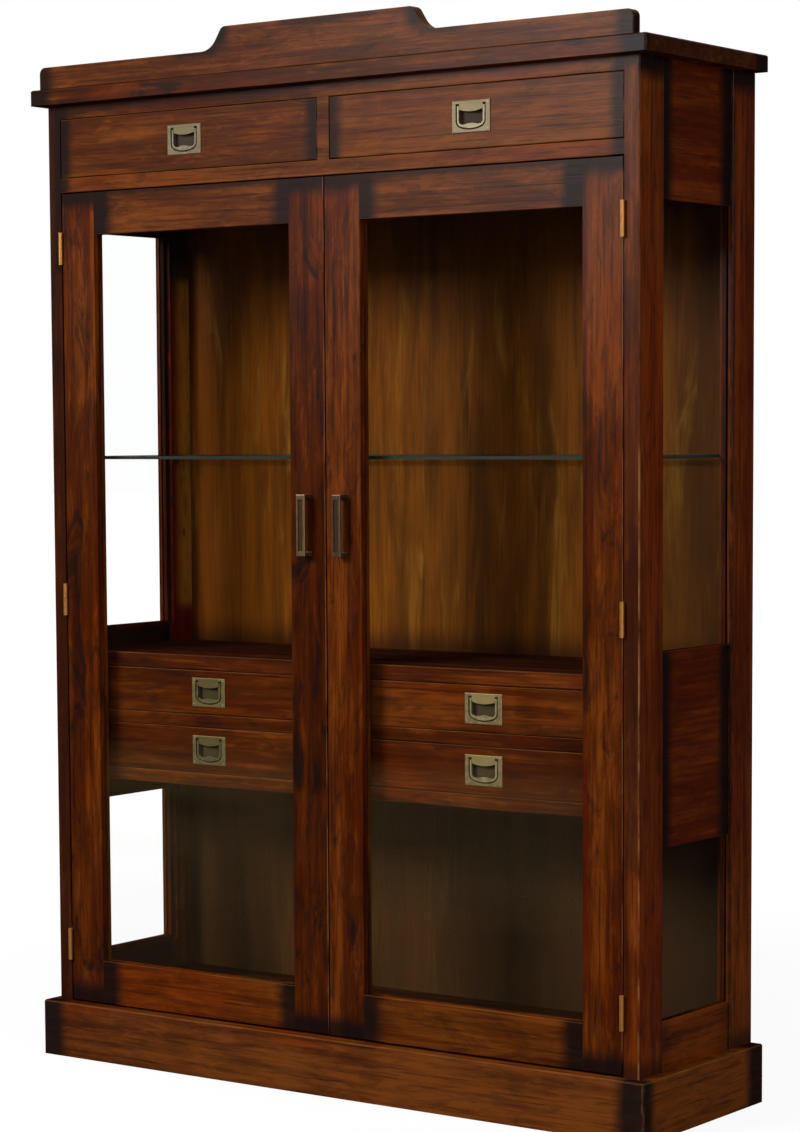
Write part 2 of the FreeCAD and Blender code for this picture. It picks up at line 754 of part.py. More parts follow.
def pull_plate():
    """Plate with a sunk cup and a tongue whose slots take the two pins of the bail."""
    plate = Part.makeBox(
        PULL_WIDTH, PULL_PLATE, PULL_HEIGHT, Vector(-PULL_WIDTH / 2, -PULL_PLATE, -PULL_HEIGHT / 2)
    )
    front = [e for e in plate.Edges if all(abs(v.Point.y + PULL_PLATE) < 0.01 for v in e.Vertexes)]
    plate = plate.makeChamfer(0.9, front)
    pocket = cup_outline()
    plate = plate.cut(prism(pocket, (-PULL_PLATE - 1, 1)))
    cup_corner = Vector(-CUP_HALF_WIDTH - 1, 0, CUP_BOTTOM - 1)
    cup = Part.makeBox(
        2 * CUP_HALF_WIDTH + 2, PULL_CUP_DEPTH + 1, CUP_TOP - CUP_BOTTOM + 2, cup_corner
    )
    cup = cup.cut(prism(pocket, (-1, PULL_CUP_DEPTH)))
    half = TONGUE_HALF_WIDTH
    tops = [Vector(side * half, 0, TONGUE_TOP) for side in (-1, 1)]
    feet = [Vector(side * half, 0, TONGUE_SIDE_FOOT) for side in (-1, 1)]
    tongue_edges = [
        Part.makeLine(tops[0], tops[1]),
        Part.makeLine(tops[1], feet[1]),
        Part.Arc(feet[1], Vector(0, 0, TONGUE_MIDDLE_FOOT), feet[0]).toShape(),
        Part.makeLine(feet[0], tops[0]),
    ]
    tongue = prism(Part.Face(Part.Wire(Part.__sortEdges__(tongue_edges))), (-PULL_PLATE + 0.4, 1.6))
    body = fuse([plate, cup, tongue])
    slot_half = BAIL_PIN_RADIUS + 0.06
    slots = []
    for side in (-1, 1):
        inner_end = BAIL_PIN_TIP - 0.5
        slot = Part.makeBox(
            half + 1 - inner_end,
            2 * slot_half,
            2 * slot_half,
            Vector(inner_end, PULL_PIVOT_DEPTH - slot_half, PULL_PIVOT_HEIGHT - slot_half),
        )
        slots.append(handed(slot, side))
    return cut(body, slots)


def outer_front_edges(shape, y):
    """Front edges of a bail along its outer outline."""
    found = []
    for edge in shape.Edges:
        middle = edge.valueAt((edge.FirstParameter + edge.LastParameter) / 2)
        on_front = all(abs(vertex.Point.y - y) < 0.01 for vertex in edge.Vertexes)
        outside = abs(middle.x) > BAIL_LEG[0] + 0.1 or middle.z < BAIL_GRIP_TOP - 1.0
        if on_front and outside and middle.z < PULL_PIVOT_HEIGHT:
            found.append(edge)
    return found


def octagonal_pin(tip_x, length):
    """Eight-sided pin on the swing axis, from its tip into the leg."""
    corners = []
    for step in range(8):
        angle = math.radians(22.5 + 45 * step)
        y = PULL_PIVOT_DEPTH + BAIL_PIN_RADIUS * math.cos(angle)
        z = PULL_PIVOT_HEIGHT + BAIL_PIN_RADIUS * math.sin(angle)
        corners.append(Vector(tip_x, y, z))
    corners.append(corners[0])
    return Part.Face(Part.makePolygon(corners)).extrude(Vector(length, 0, 0))


def pull_bail():
    """Swinging bail with a bowed grip that swells upward in the middle."""
    down = Vector(0, 0, -1)
    top = PULL_PIVOT_HEIGHT + 1.6
    inner_bend = 7.0
    swell_half = 12.0
    swell_height = 2.0

    def at(x, z):
        return Vector(x, 0, z)

    crest = at(0, BAIL_GRIP_TOP + swell_height)
    edges, corners = bowed_outline(BAIL_CLEARANCE)
    for side, outer_start in zip((-1, 1), corners):
        outward = Vector(side, 0, 0)
        inner_x = side * BAIL_LEG[0]
        outer_x = side * BAIL_LEG[1]
        inner_start = at(inner_x, BAIL_GRIP_TOP + inner_bend)
        inner_end = at(inner_x - side * inner_bend, BAIL_GRIP_TOP)
        swell_foot = at(side * swell_half, BAIL_GRIP_TOP)
        edges.append(Part.makeLine(at(outer_x, top), outer_start))
        edges.append(Part.makeLine(at(outer_x, top), at(inner_x, top)))
        edges.append(Part.makeLine(at(inner_x, top), inner_start))
        edges.append(tangent_arc(inner_start, down, inner_end))
        edges.append(Part.makeLine(inner_end, swell_foot))
        edges.append(tangent_arc(crest, outward, swell_foot))
    wire = Part.Wire(Part.__sortEdges__(edges))
    front = PULL_PIVOT_DEPTH - BAIL_HALF_THICKNESS
    back = PULL_PIVOT_DEPTH + BAIL_HALF_THICKNESS
    shape = prism(Part.Face(wire), (front, back))
    shape = shape.makeChamfer(0.8, outer_front_edges(shape, front))
    pin_length = BAIL_LEG[0] - BAIL_PIN_TIP + 0.5
    pins = [octagonal_pin(side * BAIL_PIN_TIP, side * pin_length) for side in (-1, 1)]
    return fuse([shape, *pins])


def placed_pull(shape, x, depth, z):
    """Move a pull piece from its own origin to a drawer front."""
    moved = shape.copy()
    moved.translate(Vector(x, FACE + depth, z))
    return moved


# Drawers, drawn for the right-hand side


def drawer_front(x_range, depth, thickness, z_range):
    """Drawer front with eased face edges and a pocket for the pull cup."""
    front = box(x_range, (depth, depth + thickness), z_range)
    front = ease_edges(front, 1.2, {"depth": depth})
    centre_x = sum(x_range) / 2
    centre_z = sum(z_range) / 2
    half_width = CUP_HALF_WIDTH + POCKET_CLEARANCE
    pocket = box(
        (centre_x - half_width, centre_x + half_width),
        (depth - 1, depth + PULL_CUP_DEPTH + 1.6),
        (centre_z + CUP_BOTTOM - POCKET_CLEARANCE, centre_z + CUP_TOP + POCKET_CLEARANCE),
    )
    inset = 7.0
    groove = box(
        (x_range[0] + inset, x_range[1] - inset),
        (depth + thickness - 5, depth + thickness + 1),
        (z_range[0] + inset, z_range[0] + inset + 5.2),
    )
    return cut(front, [pocket, groove])


def drawer_box(x_range, depth_range, z_range, bottom_height):
    """Two sides, a back and a bottom panel that runs in grooves."""
    x0, x1 = x_range
    d0, d1 = depth_range
    z0, z1 = z_range
    side_thickness = 12.0
    groove = box(
        (x0 + side_thickness - 5, x1 - side_thickness + 5),
        (d0 - 1, d1 + 1),
        (bottom_height - 0.1, bottom_height + 5.1),
    )
    left = box((x0, x0 + side_thickness), depth_range, z_range).cut(groove)
    right = box((x1 - side_thickness, x1), depth_range, z_range).cut(groove)
    back = box((x0 + side_thickness, x1 - side_thickness), (d1 - 12, d1), (bottom_height + 5, z1 - 6))
    bottom = box(
        (x0 + side_thickness - 4.5, x1 - side_thickness + 4.5),
        (d0 - 4.5, d1 - 1),
        (bottom_height, bottom_height + 5),
    )
    return [left, right, back, bottom]


def drawer(opening_x, opening_z, depth, thickness, gap, box_x, box_length, box_top):
    """All pieces of one drawer for the given opening."""
    x_range = (opening_x[0] + gap, opening_x[1] - gap)
    z_range = (opening_z[0] + gap, opening_z[1] - gap)
    front = drawer_front(x_range, depth, thickness, z_range)
    box_depths = (depth + thickness, depth + thickness + box_length)
    carcass = drawer_box(box_x, box_depths, (opening_z[0] + 0.5, box_top), z_range[0] + 7.1)
    centre = (sum(x_range) / 2, sum(z_range) / 2)
    return front, carcass, centre


def main():
    os.makedirs("parts", exist_ok=True)

    save("plinth_boards", plinth_boards())
    save("base_rails", base_rails())
    save("floor_board", [floor_board()])
    save("top_slab", [top_slab()])
    save("crown_board", [crown_board()])
    save("side_stiles", side_stiles())
    save("side_rails", side_rails())
    save("side_glass", side_glass())
    save("side_glass_beads", side_glass_beads())
    save("back_panel", [back_panel()])
    save("front_frame", front_frame())
    save("dust_board", [dust_board()])
    save("top_drawer_runners", top_drawer_runners())
    save("bank_top_board", [bank_top_board()])
    save("bank_bottom_board", [bank_bottom_board()])
    save("bank_front_members", bank_front_members())
    save("bank_partitions", bank_partitions())
    save("bank_runners", bank_runners())
    save("glass_shelf", [glass_shelf()])
    save("shelf_brackets", shelf_brackets())
    save("magnetic_catches", both_sides(magnetic_catch()))

    hinges = [hinge_parts(height) for height in HINGE_HEIGHTS]
    frame_leaves = []
    for _, frame_leaf in hinges:
        frame_leaves.extend(both_sides(frame_leaf))
    save("hinge_frame_leaves", frame_leaves)

    stiles, rails = door_members()
    for side, name in ((1, "right"), (-1, "left")):
        save(f"{name}_door_stiles", [handed(shape, side) for shape in stiles])
        save(f"{name}_door_rails", [handed(shape, side) for shape in rails])
        save(f"{name}_door_glass", [handed(door_glass(), side)])
        save(f"{name}_door_beads", [handed(shape, side) for shape in door_beads()])
        save(f"{name}_door_handle", [handed(bar_handle(), side)])
        save(f"{name}_door_hinge_leaves", [handed(door_leaf, side) for door_leaf, _ in hinges])
        save(f"{name}_door_catch_plate", [handed(catch_plate(), side)])

    plate = pull_plate()
    bail = pull_bail()
    bay_inner, bay_outer = BANK_BAY
    drawers = {
        "top": drawer(
            (MULLION_HALF_WIDTH, INNER_HALF),
            DRAWER_OPENING,
            depth=0.0,
            thickness=20.0,
            gap=1.5,
            box_x=(24.0, 604.0),
            box_length=310.0,
            box_top=1766.0,
        ),
        "upper": drawer(
            BANK_BAY,
            (BANK_MIDDLE_RAIL[1], BANK_TOP_BOARD[0]),
            depth=BANK_FRONT,
            thickness=18.0,
            gap=1.3,
            box_x=(bay_inner + 2, bay_outer - 2),
            box_length=290.0,
            box_top=742.0,
        ),
        "lower": drawer(
            BANK_BAY,
            (BANK_BOTTOM_BOARD[1], BANK_MIDDLE_RAIL[0]),
            depth=BANK_FRONT,
            thickness=18.0,
            gap=1.3,
            box_x=(bay_inner + 2, bay_outer - 2),
            box_length=290.0,
            box_top=636.0,
        ),
    }
    for level, (front, carcass, centre) in drawers.items():
        depth = 0.0 if level == "top" else BANK_FRONT
        for side, hand in ((1, "right"), (-1, "left")):
            name = f"{level}_{hand}_drawer"
            save(f"{name}_front", [handed(front, side)])
            save(f"{name}_box", [handed(shape, side) for shape in carcass])
            save(f"{name}_pull_plate", [placed_pull(plate, side * centre[0], depth, centre[1])])
            save(f"{name}_bail", [placed_pull(bail, side * centre[0], depth, centre[1])])


main()
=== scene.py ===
"""Looks of a tall glazed display cabinet: stained timber, aged brass and clear glass.

Metres, +Z up, the front looks along -Y, the origin lies on the floor under the
middle of the cabinet.
"""

import math
import bmesh
import bpy
from mathutils import Matrix, Vector


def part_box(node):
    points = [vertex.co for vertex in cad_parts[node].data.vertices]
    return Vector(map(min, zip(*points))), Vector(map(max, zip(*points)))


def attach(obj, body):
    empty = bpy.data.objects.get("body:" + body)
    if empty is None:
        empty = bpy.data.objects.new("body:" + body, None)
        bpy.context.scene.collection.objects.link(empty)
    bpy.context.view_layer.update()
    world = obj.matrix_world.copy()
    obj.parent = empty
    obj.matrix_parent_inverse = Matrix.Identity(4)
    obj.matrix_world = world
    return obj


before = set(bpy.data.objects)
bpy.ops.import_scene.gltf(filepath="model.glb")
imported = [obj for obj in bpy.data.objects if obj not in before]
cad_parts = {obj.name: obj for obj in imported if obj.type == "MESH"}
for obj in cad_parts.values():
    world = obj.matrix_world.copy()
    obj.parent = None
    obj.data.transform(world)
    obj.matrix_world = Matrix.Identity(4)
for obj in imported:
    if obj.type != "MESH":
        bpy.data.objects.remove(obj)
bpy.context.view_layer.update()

# Picture and camera, solved from the cabinet's own corners
PICTURE_WIDTH = 800
PICTURE_HEIGHT = 1132
FOCAL_PIXELS = 3035.17
CENTRE_PIXEL = (349.08, 683.81)
SENSOR = 36.0
CAMERA_PLACE = Vector((3.25466, -4.51304, 1.19891))
CAMERA_YAW = math.radians(36.4988)
CAMERA_PITCH = math.radians(-4.7857)
CAMERA_ROLL = math.radians(-0.3855)

# Places on the cabinet: the ends of its parts, and a few sizes of the part's source
BODY_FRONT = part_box("side_stiles")[0].y
BODY_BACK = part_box("side_stiles")[1].y
HALF_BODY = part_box("side_stiles")[1].x
SLAB_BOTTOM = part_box("top_slab")[0].z
PLINTH_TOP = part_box("plinth_boards")[1].z
POST_THICKNESS = 0.030
POST_INNER = HALF_BODY - POST_THICKNESS
POST_CENTRE = HALF_BODY - POST_THICKNESS / 2
FRONT_POST_MIDDLE = BODY_FRONT + 0.040
REAR_POST_FRONT = BODY_FRONT + 0.310
REAR_POST_MIDDLE = BODY_BACK - 0.040
BASE_RAIL_DEPTH = 0.022
DOOR_LOW, DOOR_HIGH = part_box("right_door_stiles")
DOOR_GLASS_SIDE = (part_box("right_door_rails")[0].x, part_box("right_door_rails")[1].x)
CROWN_SHOULDER = 0.225
CROWN_LEDGE = 1.8805
SIDES = ("left", "right")
LEVELS = ("top", "upper", "lower")

# How far behind its front a pull plate's cup and a bar handle's channel begin
CUP_DEPTH = 0.0006
CHANNEL_DEPTH = 0.0013

# Tongue in the middle of a pull plate: half its width, and its foot above the middle
TONGUE_HALF = 0.0245
TONGUE_FOOT = 0.0080

# Screws of the pull plates: slotted round heads, set in from the plate's corners
SCREW_INSET = 0.0044
SCREW_RADIUS = 0.0017
SCREW_HEIGHT = 0.0005
SCREW_SUNK = 0.0002
SCREW_SLIT = 0.00028
SCREW_STEPS = 10

# Strip that closes the seam before the floor board
STRIP_HEIGHT = 0.010
STRIP_BEVEL = 0.001

# Timber colours from dark to light (the darkest also paints shade), the bare wood of worn edges, a
# red stain that also paints red shade, and a golden tone of painted light
SOOT_AND_SHADE = (0.0072, 0.0040, 0.0034)
UMBER = (0.0190, 0.0040, 0.0008)
CHESTNUT = (0.0600, 0.0125, 0.0017)
AMBER = (0.1560, 0.0400, 0.0052)
WORN = (0.3000, 0.1300, 0.0440)
RED_STAIN_AND_SHADE = (0.0900, 0.0035, 0.0012)
PAINTED_LIGHT_GOLD = (0.3400, 0.1350, 0.0140)

# Dark and bright tone of each door's bar handle; the right one is a darker copy that paints shade
BAR_TONES = {
    "left": ((0.088, 0.046, 0.020), (0.145, 0.084, 0.042)),
    "right": ((0.046, 0.022, 0.012), (0.085, 0.046, 0.028)),
}

# Tones of the drawer pulls: plate dark and bright, cup (dark with patina and painted shade),
# tongue, bail dark and bright
PULL_TONES = {
    "top": (
        (0.120, 0.088, 0.048),
        (0.185, 0.138, 0.078),
        (0.040, 0.026, 0.019),
        (0.130, 0.104, 0.048),
        (0.120, 0.096, 0.056),
        (0.190, 0.156, 0.096),
    ),
    "right": (
        (0.170, 0.115, 0.046),
        (0.270, 0.190, 0.084),
        (0.040, 0.027, 0.012),
        (0.290, 0.225, 0.072),
        (0.230, 0.185, 0.080),
        (0.390, 0.320, 0.150),
    ),
    "left": (
        (0.130, 0.096, 0.034),
        (0.200, 0.150, 0.056),
        (0.042, 0.031, 0.009),
        (0.120, 0.090, 0.028),
        (0.100, 0.080, 0.030),
        (0.190, 0.155, 0.066),
    ),
}

# A face leans off all three axes, as a bevel does, where its largest component is less
FLAT_FACE = 0.985

# How far aged brass shows as bare metal under its brown patina
METAL_SHARE = 0.65

# How much less clean glass mirrors when seen square on than at a slant
GLASS_SHEEN = 0.012

# Height up to which the door glass carries a painted reflection of the floor as a thin film, and
# how much of the pane it covers
PAINTED_REFLECTION_TOP = 0.60
PAINTED_REFLECTION_SHARE = 0.036

# Painted sheen of the timber, reflection strength set by face and height to place the lamps'
# reflections: front faces low down and high up, side faces, and dull inner pieces
FRONT_SHEEN = (0.08, 0.08)
DOOR_SHEEN = (0.02, 0.09)
SIDE_SHEEN = 0.02
DULL_SHEEN = (0.02, 0.02)

# Studio: half the floor's width, and the world's light on the piece and in its mirrors
FLOOR_REACH = 40.0
WORLD_LIGHT = 0.34
WORLD_MIRRORED = 0.05

# Lamps: name, place, target, size and power
LAMPS = (
    ("key", (-1.7, -4.4, 3.1), (0.0, 0.0, 0.9), (2.0, 1.6), 205.0),
    ("fill", (4.6, -2.6, 2.2), (0.2, 0.0, 0.9), (2.2, 2.2), 84.0),
    ("top", (0.0, -0.6, 4.6), (0.0, 0.0, 1.0), (2.6, 2.6), 60.0),
)


class Nodes:
    """Short calls that add and join the shader nodes of a material or of the world."""

    def __init__(self, owner, output="ShaderNodeOutputMaterial"):
        self.owner = owner
        owner.use_nodes = True
        self.tree = owner.node_tree
        self.tree.nodes.clear()
        self.output = self.tree.nodes.new(output)

    @classmethod
    def material(cls, name):
        return cls(bpy.data.materials.new(name))

    def put(self, socket, value):
        if isinstance(value, bpy.types.NodeSocket):
            self.tree.links.new(value, socket)
        elif value is not None:
            socket.default_value = value

    def node(self, kind, inputs=None, **settings):
        node = self.tree.nodes.new(kind)
        for name, value in settings.items():
            setattr(node, name, value)
        for name, value in (inputs or {}).items():
            self.put(node.inputs[name], value)
        return node

    def math(self, operation, first, second=None, third=None, clamp=False):
        node = self.tree.nodes.new("ShaderNodeMath")
        node.operation = operation
        node.use_clamp = clamp
        for index, value in enumerate((first, second, third)):
            self.put(node.inputs[index], value)
        return node.outputs[0]

    def span(self, value, low, high, out_low=0.0, out_high=1.0):
        """Smoothly maps value from low..high to out_low..out_high."""
        node = self.tree.nodes.new("ShaderNodeMapRange")
        node.interpolation_type = "SMOOTHSTEP"
        for index, item in enumerate((value, low, high, out_low, out_high)):
            self.put(node.inputs[index], item)
        return node.outputs[0]

    def blend(self, amount, first, second, mode="MIX"):
        node = self.tree.nodes.new("ShaderNodeMix")
        node.data_type = "RGBA"
        node.blend_type = mode
        node.clamp_factor = True
        self.put(node.inputs[0], amount)
        for socket, value in ((node.inputs[6], first), (node.inputs[7], second)):
            self.put(socket, (*value, 1.0) if isinstance(value, tuple) else value)
        return node.outputs[2]

    def place(self):
        """Position on the piece at rest."""
        return self.node("ShaderNodeTexCoord").outputs["Object"]

    def facing(self):
        """Surface direction on the piece at rest."""
        return self.node("ShaderNodeTexCoord").outputs["Normal"]

    def bevels(self):
        """One on surfaces that lean off all three axes."""
        level = None
        for part in self.parts(self.facing()):
            size = self.math("ABSOLUTE", part)
            level = size if level is None else self.math("MAXIMUM", level, size)
        return self.math("LESS_THAN", level, FLAT_FACE)

    def parts(self, vector):
        node = self.node("ShaderNodeSeparateXYZ", {"Vector": vector})
        return node.outputs[0], node.outputs[1], node.outputs[2]

    def stretch(self, vector, scale, offset=(0.0, 0.0, 0.0)):
        inputs = {"Vector": vector, "Scale": scale, "Location": offset}
        return self.node("ShaderNodeMapping", inputs).outputs[0]

    def noise(self, vector, scale, detail=3.0, roughness=0.55, distortion=0.0):
        inputs = {
            "Vector": vector,
            "Scale": scale,
            "Detail": detail,
            "Roughness": roughness,
            "Distortion": distortion,
        }
        return self.node("ShaderNodeTexNoise", inputs).outputs["Fac"]

    def mix(self, amount, first, second):
        """Blend of two shaders."""
        return self.node("ShaderNodeMixShader", {0: amount, 1: first, 2: second}).outputs[0]

    def surface(self, shader):
        """Join the shader to the output; returns the finished material."""
        self.tree.links.new(shader, self.output.inputs["Surface"])
        return self.owner


def along(grain, lengthwise, across):
    """Mapping scale that draws a pattern out along the grain."""
    scale = [across, across, across]
    scale["XYZ".index(grain)] = lengthwise
    return tuple(scale)


def timber(
    name,
    grain,
    tone=0.5,
    red=0.0,
    sooty=0.5,
    burns_and_shade=(),
    painted_lights=(),
    stains_and_painted_light=(),
    mottle=0.35,
    seed=0.0,
    gloss=0.32,
    sheen=FRONT_SHEEN,
    wear=0.3,
    wear_top=None,
    boxed=False,
):
    """Stained and lacquered softwood with dark burnt places, worn edges and painted light.

    grain is the axis of the fibres and tone runs from dark to light.  Burns and lifts
    are lists of (amount, bounds), stains of (amount, bounds, colour), and bounds are
    tuples of (axis, place, half width); axis W is the distance from the middle plane.
    Some burns paint shade and shadow, lifts paint light and shade, and some stains paint
    shade and reflected light.  Mottle is the strength of the small rubbed blotches, sheen
    the painted reflection strength of the front face low down and high up, and wear fades
    out above wear_top and toward the back.
    On a boxed piece, the grain of the boards that cross it is turned into their length.
    """
    n = Nodes.material(name)
    place = n.place()
    x, y, z = n.parts(place)
    axis = {"X": x, "Y": y, "Z": z, "W": n.math("ABSOLUTE", x)}
    shift = (seed * 1.7, seed * 2.3, seed * 0.9)
    if boxed:
        turned = n.node("ShaderNodeCombineXYZ", {"X": y, "Y": x, "Z": z}).outputs[0]
        end_on = n.parts(n.facing())["XYZ".index(grain)]
        crosswise = n.math("GREATER_THAN", n.math("ABSOLUTE", end_on), 0.7)
        choice = {0: crosswise, 4: place, 5: turned}
        place = n.node("ShaderNodeMix", choice, data_type="VECTOR").outputs[1]

    def grained(lengthwise, across, detail=3.0, distortion=0.0, roughness=0.6):
        vector = n.stretch(place, along(grain, lengthwise, across), shift)
        return n.noise(vector, 1.0, detail, roughness, distortion)

    def region(bounds):
        """Mask that is one inside the bounds and fades out across their ragged limits."""
        mask = None
        for side, centre, half in bounds:
            gap = n.math("ABSOLUTE", n.math("SUBTRACT", axis[side], centre))
            gap = n.math("ADD", gap, wobble)
            soft = min(0.6 * half, 0.018)
            part = n.span(gap, half - soft, half + soft, 1.0, 0.0)
            mask = part if mask is None else n.math("MULTIPLY", mask, part)
        return mask

    streak = grained(0.9, 21.0, 5.0, 0.5)
    vein = grained(2.8, 90.0, 4.0, 0.3)
    fibre = grained(9.0, 420.0)
    drift = grained(3.2, 6.0, 3.0, 0.8)
    cloud = grained(6.5, 21.0, 5.0, 1.2, 0.68)
    wobble = n.math("MULTIPLY_ADD", n.noise(place, 34.0, 4.0), 0.016, -0.008)

    light = n.math("MULTIPLY_ADD", streak, 1.30, tone - 1.44)
    light = n.math("MULTIPLY_ADD", vein, 0.80, light)
    light = n.math("MULTIPLY_ADD", drift, 0.58, light)
    light = n.math("MULTIPLY_ADD", fibre, 0.30, light)
    length = n.stretch(place, along(grain, 2.4, 9.0), shift)
    piece = n.node("ShaderNodeVectorMath", {0: length}, operation="FLOOR").outputs[0]
    lot = n.node("ShaderNodeTexWhiteNoise", {"Vector": piece}).outputs["Value"]
    light = n.math("MULTIPLY_ADD", lot, 0.10, light)
    # Lifts paint light into the colour, or shade where their amount is negative
    for amount, bounds in painted_lights:
        light = n.math("MULTIPLY_ADD", region(bounds), amount, light)
    fleck = n.span(grained(16.0, 70.0, 3.0, 0.6), 0.57, 0.70, 0.0, 0.16)
    light = n.math("ADD", light, fleck)
    blotch = grained(7.0, 46.0, 6.0, 0.7, 0.72)
    light = n.math("ADD", light, n.span(blotch, 0.36, 0.50, 0.45 * mottle, 0.0))
    light = n.math("MAXIMUM", light, 0.0, clamp=True)
    lower = n.blend(n.span(light, 0.0, 0.5), UMBER, CHESTNUT)
    colour = n.blend(n.span(light, 0.42, 1.0), lower, AMBER)
    ruddy = n.math("ADD", n.span(grained(1.7, 4.0, 2.0), 0.5, 0.66), red, clamp=True)
    colour = n.blend(ruddy, colour, (1.0, 0.70, 0.45), "MULTIPLY")
    pores = n.span(grained(6.0, 260.0, 4.0, 0.2), 0.55, 0.67, 0.0, 0.6)
    colour = n.blend(pores, colour, UMBER)
    for amount, bounds, dye in stains_and_painted_light:
        colour = n.blend(n.math("MULTIPLY", region(bounds), amount), colour, dye)

    knotty = n.stretch(place, along(grain, 4.0, 9.0), shift)
    knot = n.node("ShaderNodeTexVoronoi", {"Vector": knotty, "Scale": 1.0})
    chosen = n.math("GREATER_THAN", n.parts(knot.outputs["Color"])[0], 0.78)
    spot = n.span(knot.outputs["Distance"], 0.015, 0.06, 0.8, 0.0)
    colour = n.blend(n.math("MULTIPLY", spot, chosen), colour, SOOT_AND_SHADE)

    soot_and_shade = n.span(cloud, 0.50, 0.68, 0.0, sooty)
    soot_and_shade = n.math("MAXIMUM", soot_and_shade, n.span(blotch, 0.50, 0.64, 0.0, mottle))
    # Burns darken toward the darkest colour; some burn bounds paint shade and shadow, such as the
    # slab's shadow below it
    for amount, bounds in burns_and_shade:
        depth = n.math("MULTIPLY_ADD", vein, 0.3, amount - 0.16)
        soot_and_shade = n.math("MAXIMUM", soot_and_shade, n.math("MULTIPLY", region(bounds), depth))
    colour = n.blend(soot_and_shade, colour, SOOT_AND_SHADE)

    _, ny, nz = n.parts(n.facing())
    patchy = n.span(grained(9.0, 30.0), 0.38, 0.62)
    upward = n.span(nz, 0.2, 0.6, 0.0, 0.6)
    rubbed = n.math("MULTIPLY", n.bevels(), n.math("MAXIMUM", patchy, upward))
    rubbed = n.math("MULTIPLY", rubbed, wear)
    if wear_top is not None:
        low_down = n.span(z, wear_top - 0.25, wear_top + 0.25, 1.0, 0.1)
        rubbed = n.math("MULTIPLY", rubbed, low_down)
        rubbed = n.math("MULTIPLY", rubbed, n.span(y, 0.0, 0.1, 1.0, 0.2))
    colour = n.blend(rubbed, colour, WORN)

    ridges = n.math("MULTIPLY_ADD", streak, 0.6, fibre)
    bump = n.node("ShaderNodeBump", {"Strength": 0.25, "Distance": 0.0006, "Height": ridges})
    # Painted sheen: reflection strength set by height and by face, weak on side and top faces
    painted_sheen = n.math("SUBTRACT", n.span(z, 0.9, 1.5, *sheen), SIDE_SHEEN)
    painted_sheen = n.math("MULTIPLY_ADD", n.math("ABSOLUTE", ny), painted_sheen, SIDE_SHEEN)
    painted_sheen = n.math("MULTIPLY", painted_sheen, n.math("SUBTRACT", 1.0, n.math("ABSOLUTE", nz)))
    shader = n.node(
        "ShaderNodeBsdfPrincipled",
        {
            "Base Color": colour,
            "Roughness": n.math("MULTIPLY_ADD", fibre, 0.16, gloss - 0.06),
            "Normal": bump.outputs[0],
            "Specular IOR Level": painted_sheen,
        },
    )
    return n.surface(shader.outputs[0])


def veneer(name):
    """Back panel veneer: upright olive-brown streaks with yellow flames.

    The side that faces the display space carries painted shade at its ends, low down,
    just above the bank and under the top, with painted red reflected light at its left end.
    """
    n = Nodes.material(name)
    place = n.place()
    across, _, height = n.parts(place)
    streak = n.noise(n.stretch(place, (13.0, 13.0, 1.6)), 1.0, 5.0, 0.62, 0.5)
    flame = n.noise(n.stretch(place, (24.0, 24.0, 3.0), (3.1, 0.0, 7.7)), 1.0, 5.0, 0.6, 0.9)
    fibre = n.noise(n.stretch(place, (330.0, 330.0, 7.0)), 1.0, 3.0, 0.6)
    warm = n.span(across, -0.25, 0.05)
    dark = n.blend(warm, (0.105, 0.0290, 0.0010), (0.080, 0.0230, 0.0010))
    pale = n.blend(warm, (0.250, 0.0700, 0.0030), (0.190, 0.0560, 0.0030))
    colour = n.blend(n.span(streak, 0.36, 0.64), dark, pale)
    colour = n.blend(n.span(flame, 0.54, 0.74, 0.0, 0.9), colour, (0.270, 0.1150, 0.0120))
    colour = n.blend(n.span(fibre, 0.25, 0.75, 0.0, 0.35), colour, (0.022, 0.0080, 0.0010))
    unshaded = colour
    # Painted shade at the right end, deeper low down
    right_end = n.span(across, 0.40, 0.52)
    shaded = n.math("MULTIPLY", right_end, n.span(height, 0.95, 1.30, 0.55, 0.35))
    colour = n.blend(shaded, colour, (0.030, 0.0110, 0.0010))
    # Painted shade with reflected red light at the left end
    left_end_painted_shade = n.span(across, -0.60, -0.50, 0.20, 0.0)
    colour = n.blend(left_end_painted_shade, colour, (0.090, 0.0120, 0.0010))
    # Painted shade in a band just above the bank's top board
    foot = n.span(height, 0.775, 0.840, 0.75, 0.0)
    foot = n.math("MULTIPLY", foot, n.span(height, 0.74, 0.77))
    colour = n.blend(foot, colour, (0.018, 0.0028, 0.0004))
    # Painted shade low down, behind the lower display space
    low_painted_shade = n.math("MULTIPLY_ADD", right_end, 0.15, 0.75)
    colour = n.blend(n.span(height, 0.45, 0.60, low_painted_shade, 0.0), colour, (0.034, 0.0180, 0.0070))
    # Painted shade under the top
    painted_shade_under_top = n.span(height, 1.22, 1.62, 0.0, 0.60)
    colour = n.blend(painted_shade_under_top, colour, (0.022, 0.0060, 0.0006))
    # The painted shade goes only on the side that faces the display space
    forward = n.math("LESS_THAN", n.parts(n.facing())[1], 0.0)
    colour = n.blend(forward, unshaded, colour)
    bump = n.node("ShaderNodeBump", {"Strength": 0.15, "Distance": 0.0005, "Height": fibre})
    shader = n.node(
        "ShaderNodeBsdfPrincipled",
        {
            "Base Color": colour,
            "Roughness": n.math("MULTIPLY_ADD", fibre, 0.2, 0.42),
            "Normal": bump.outputs[0],
            "Specular IOR Level": 0.05,
        },
    )
    return n.surface(shader.outputs[0])


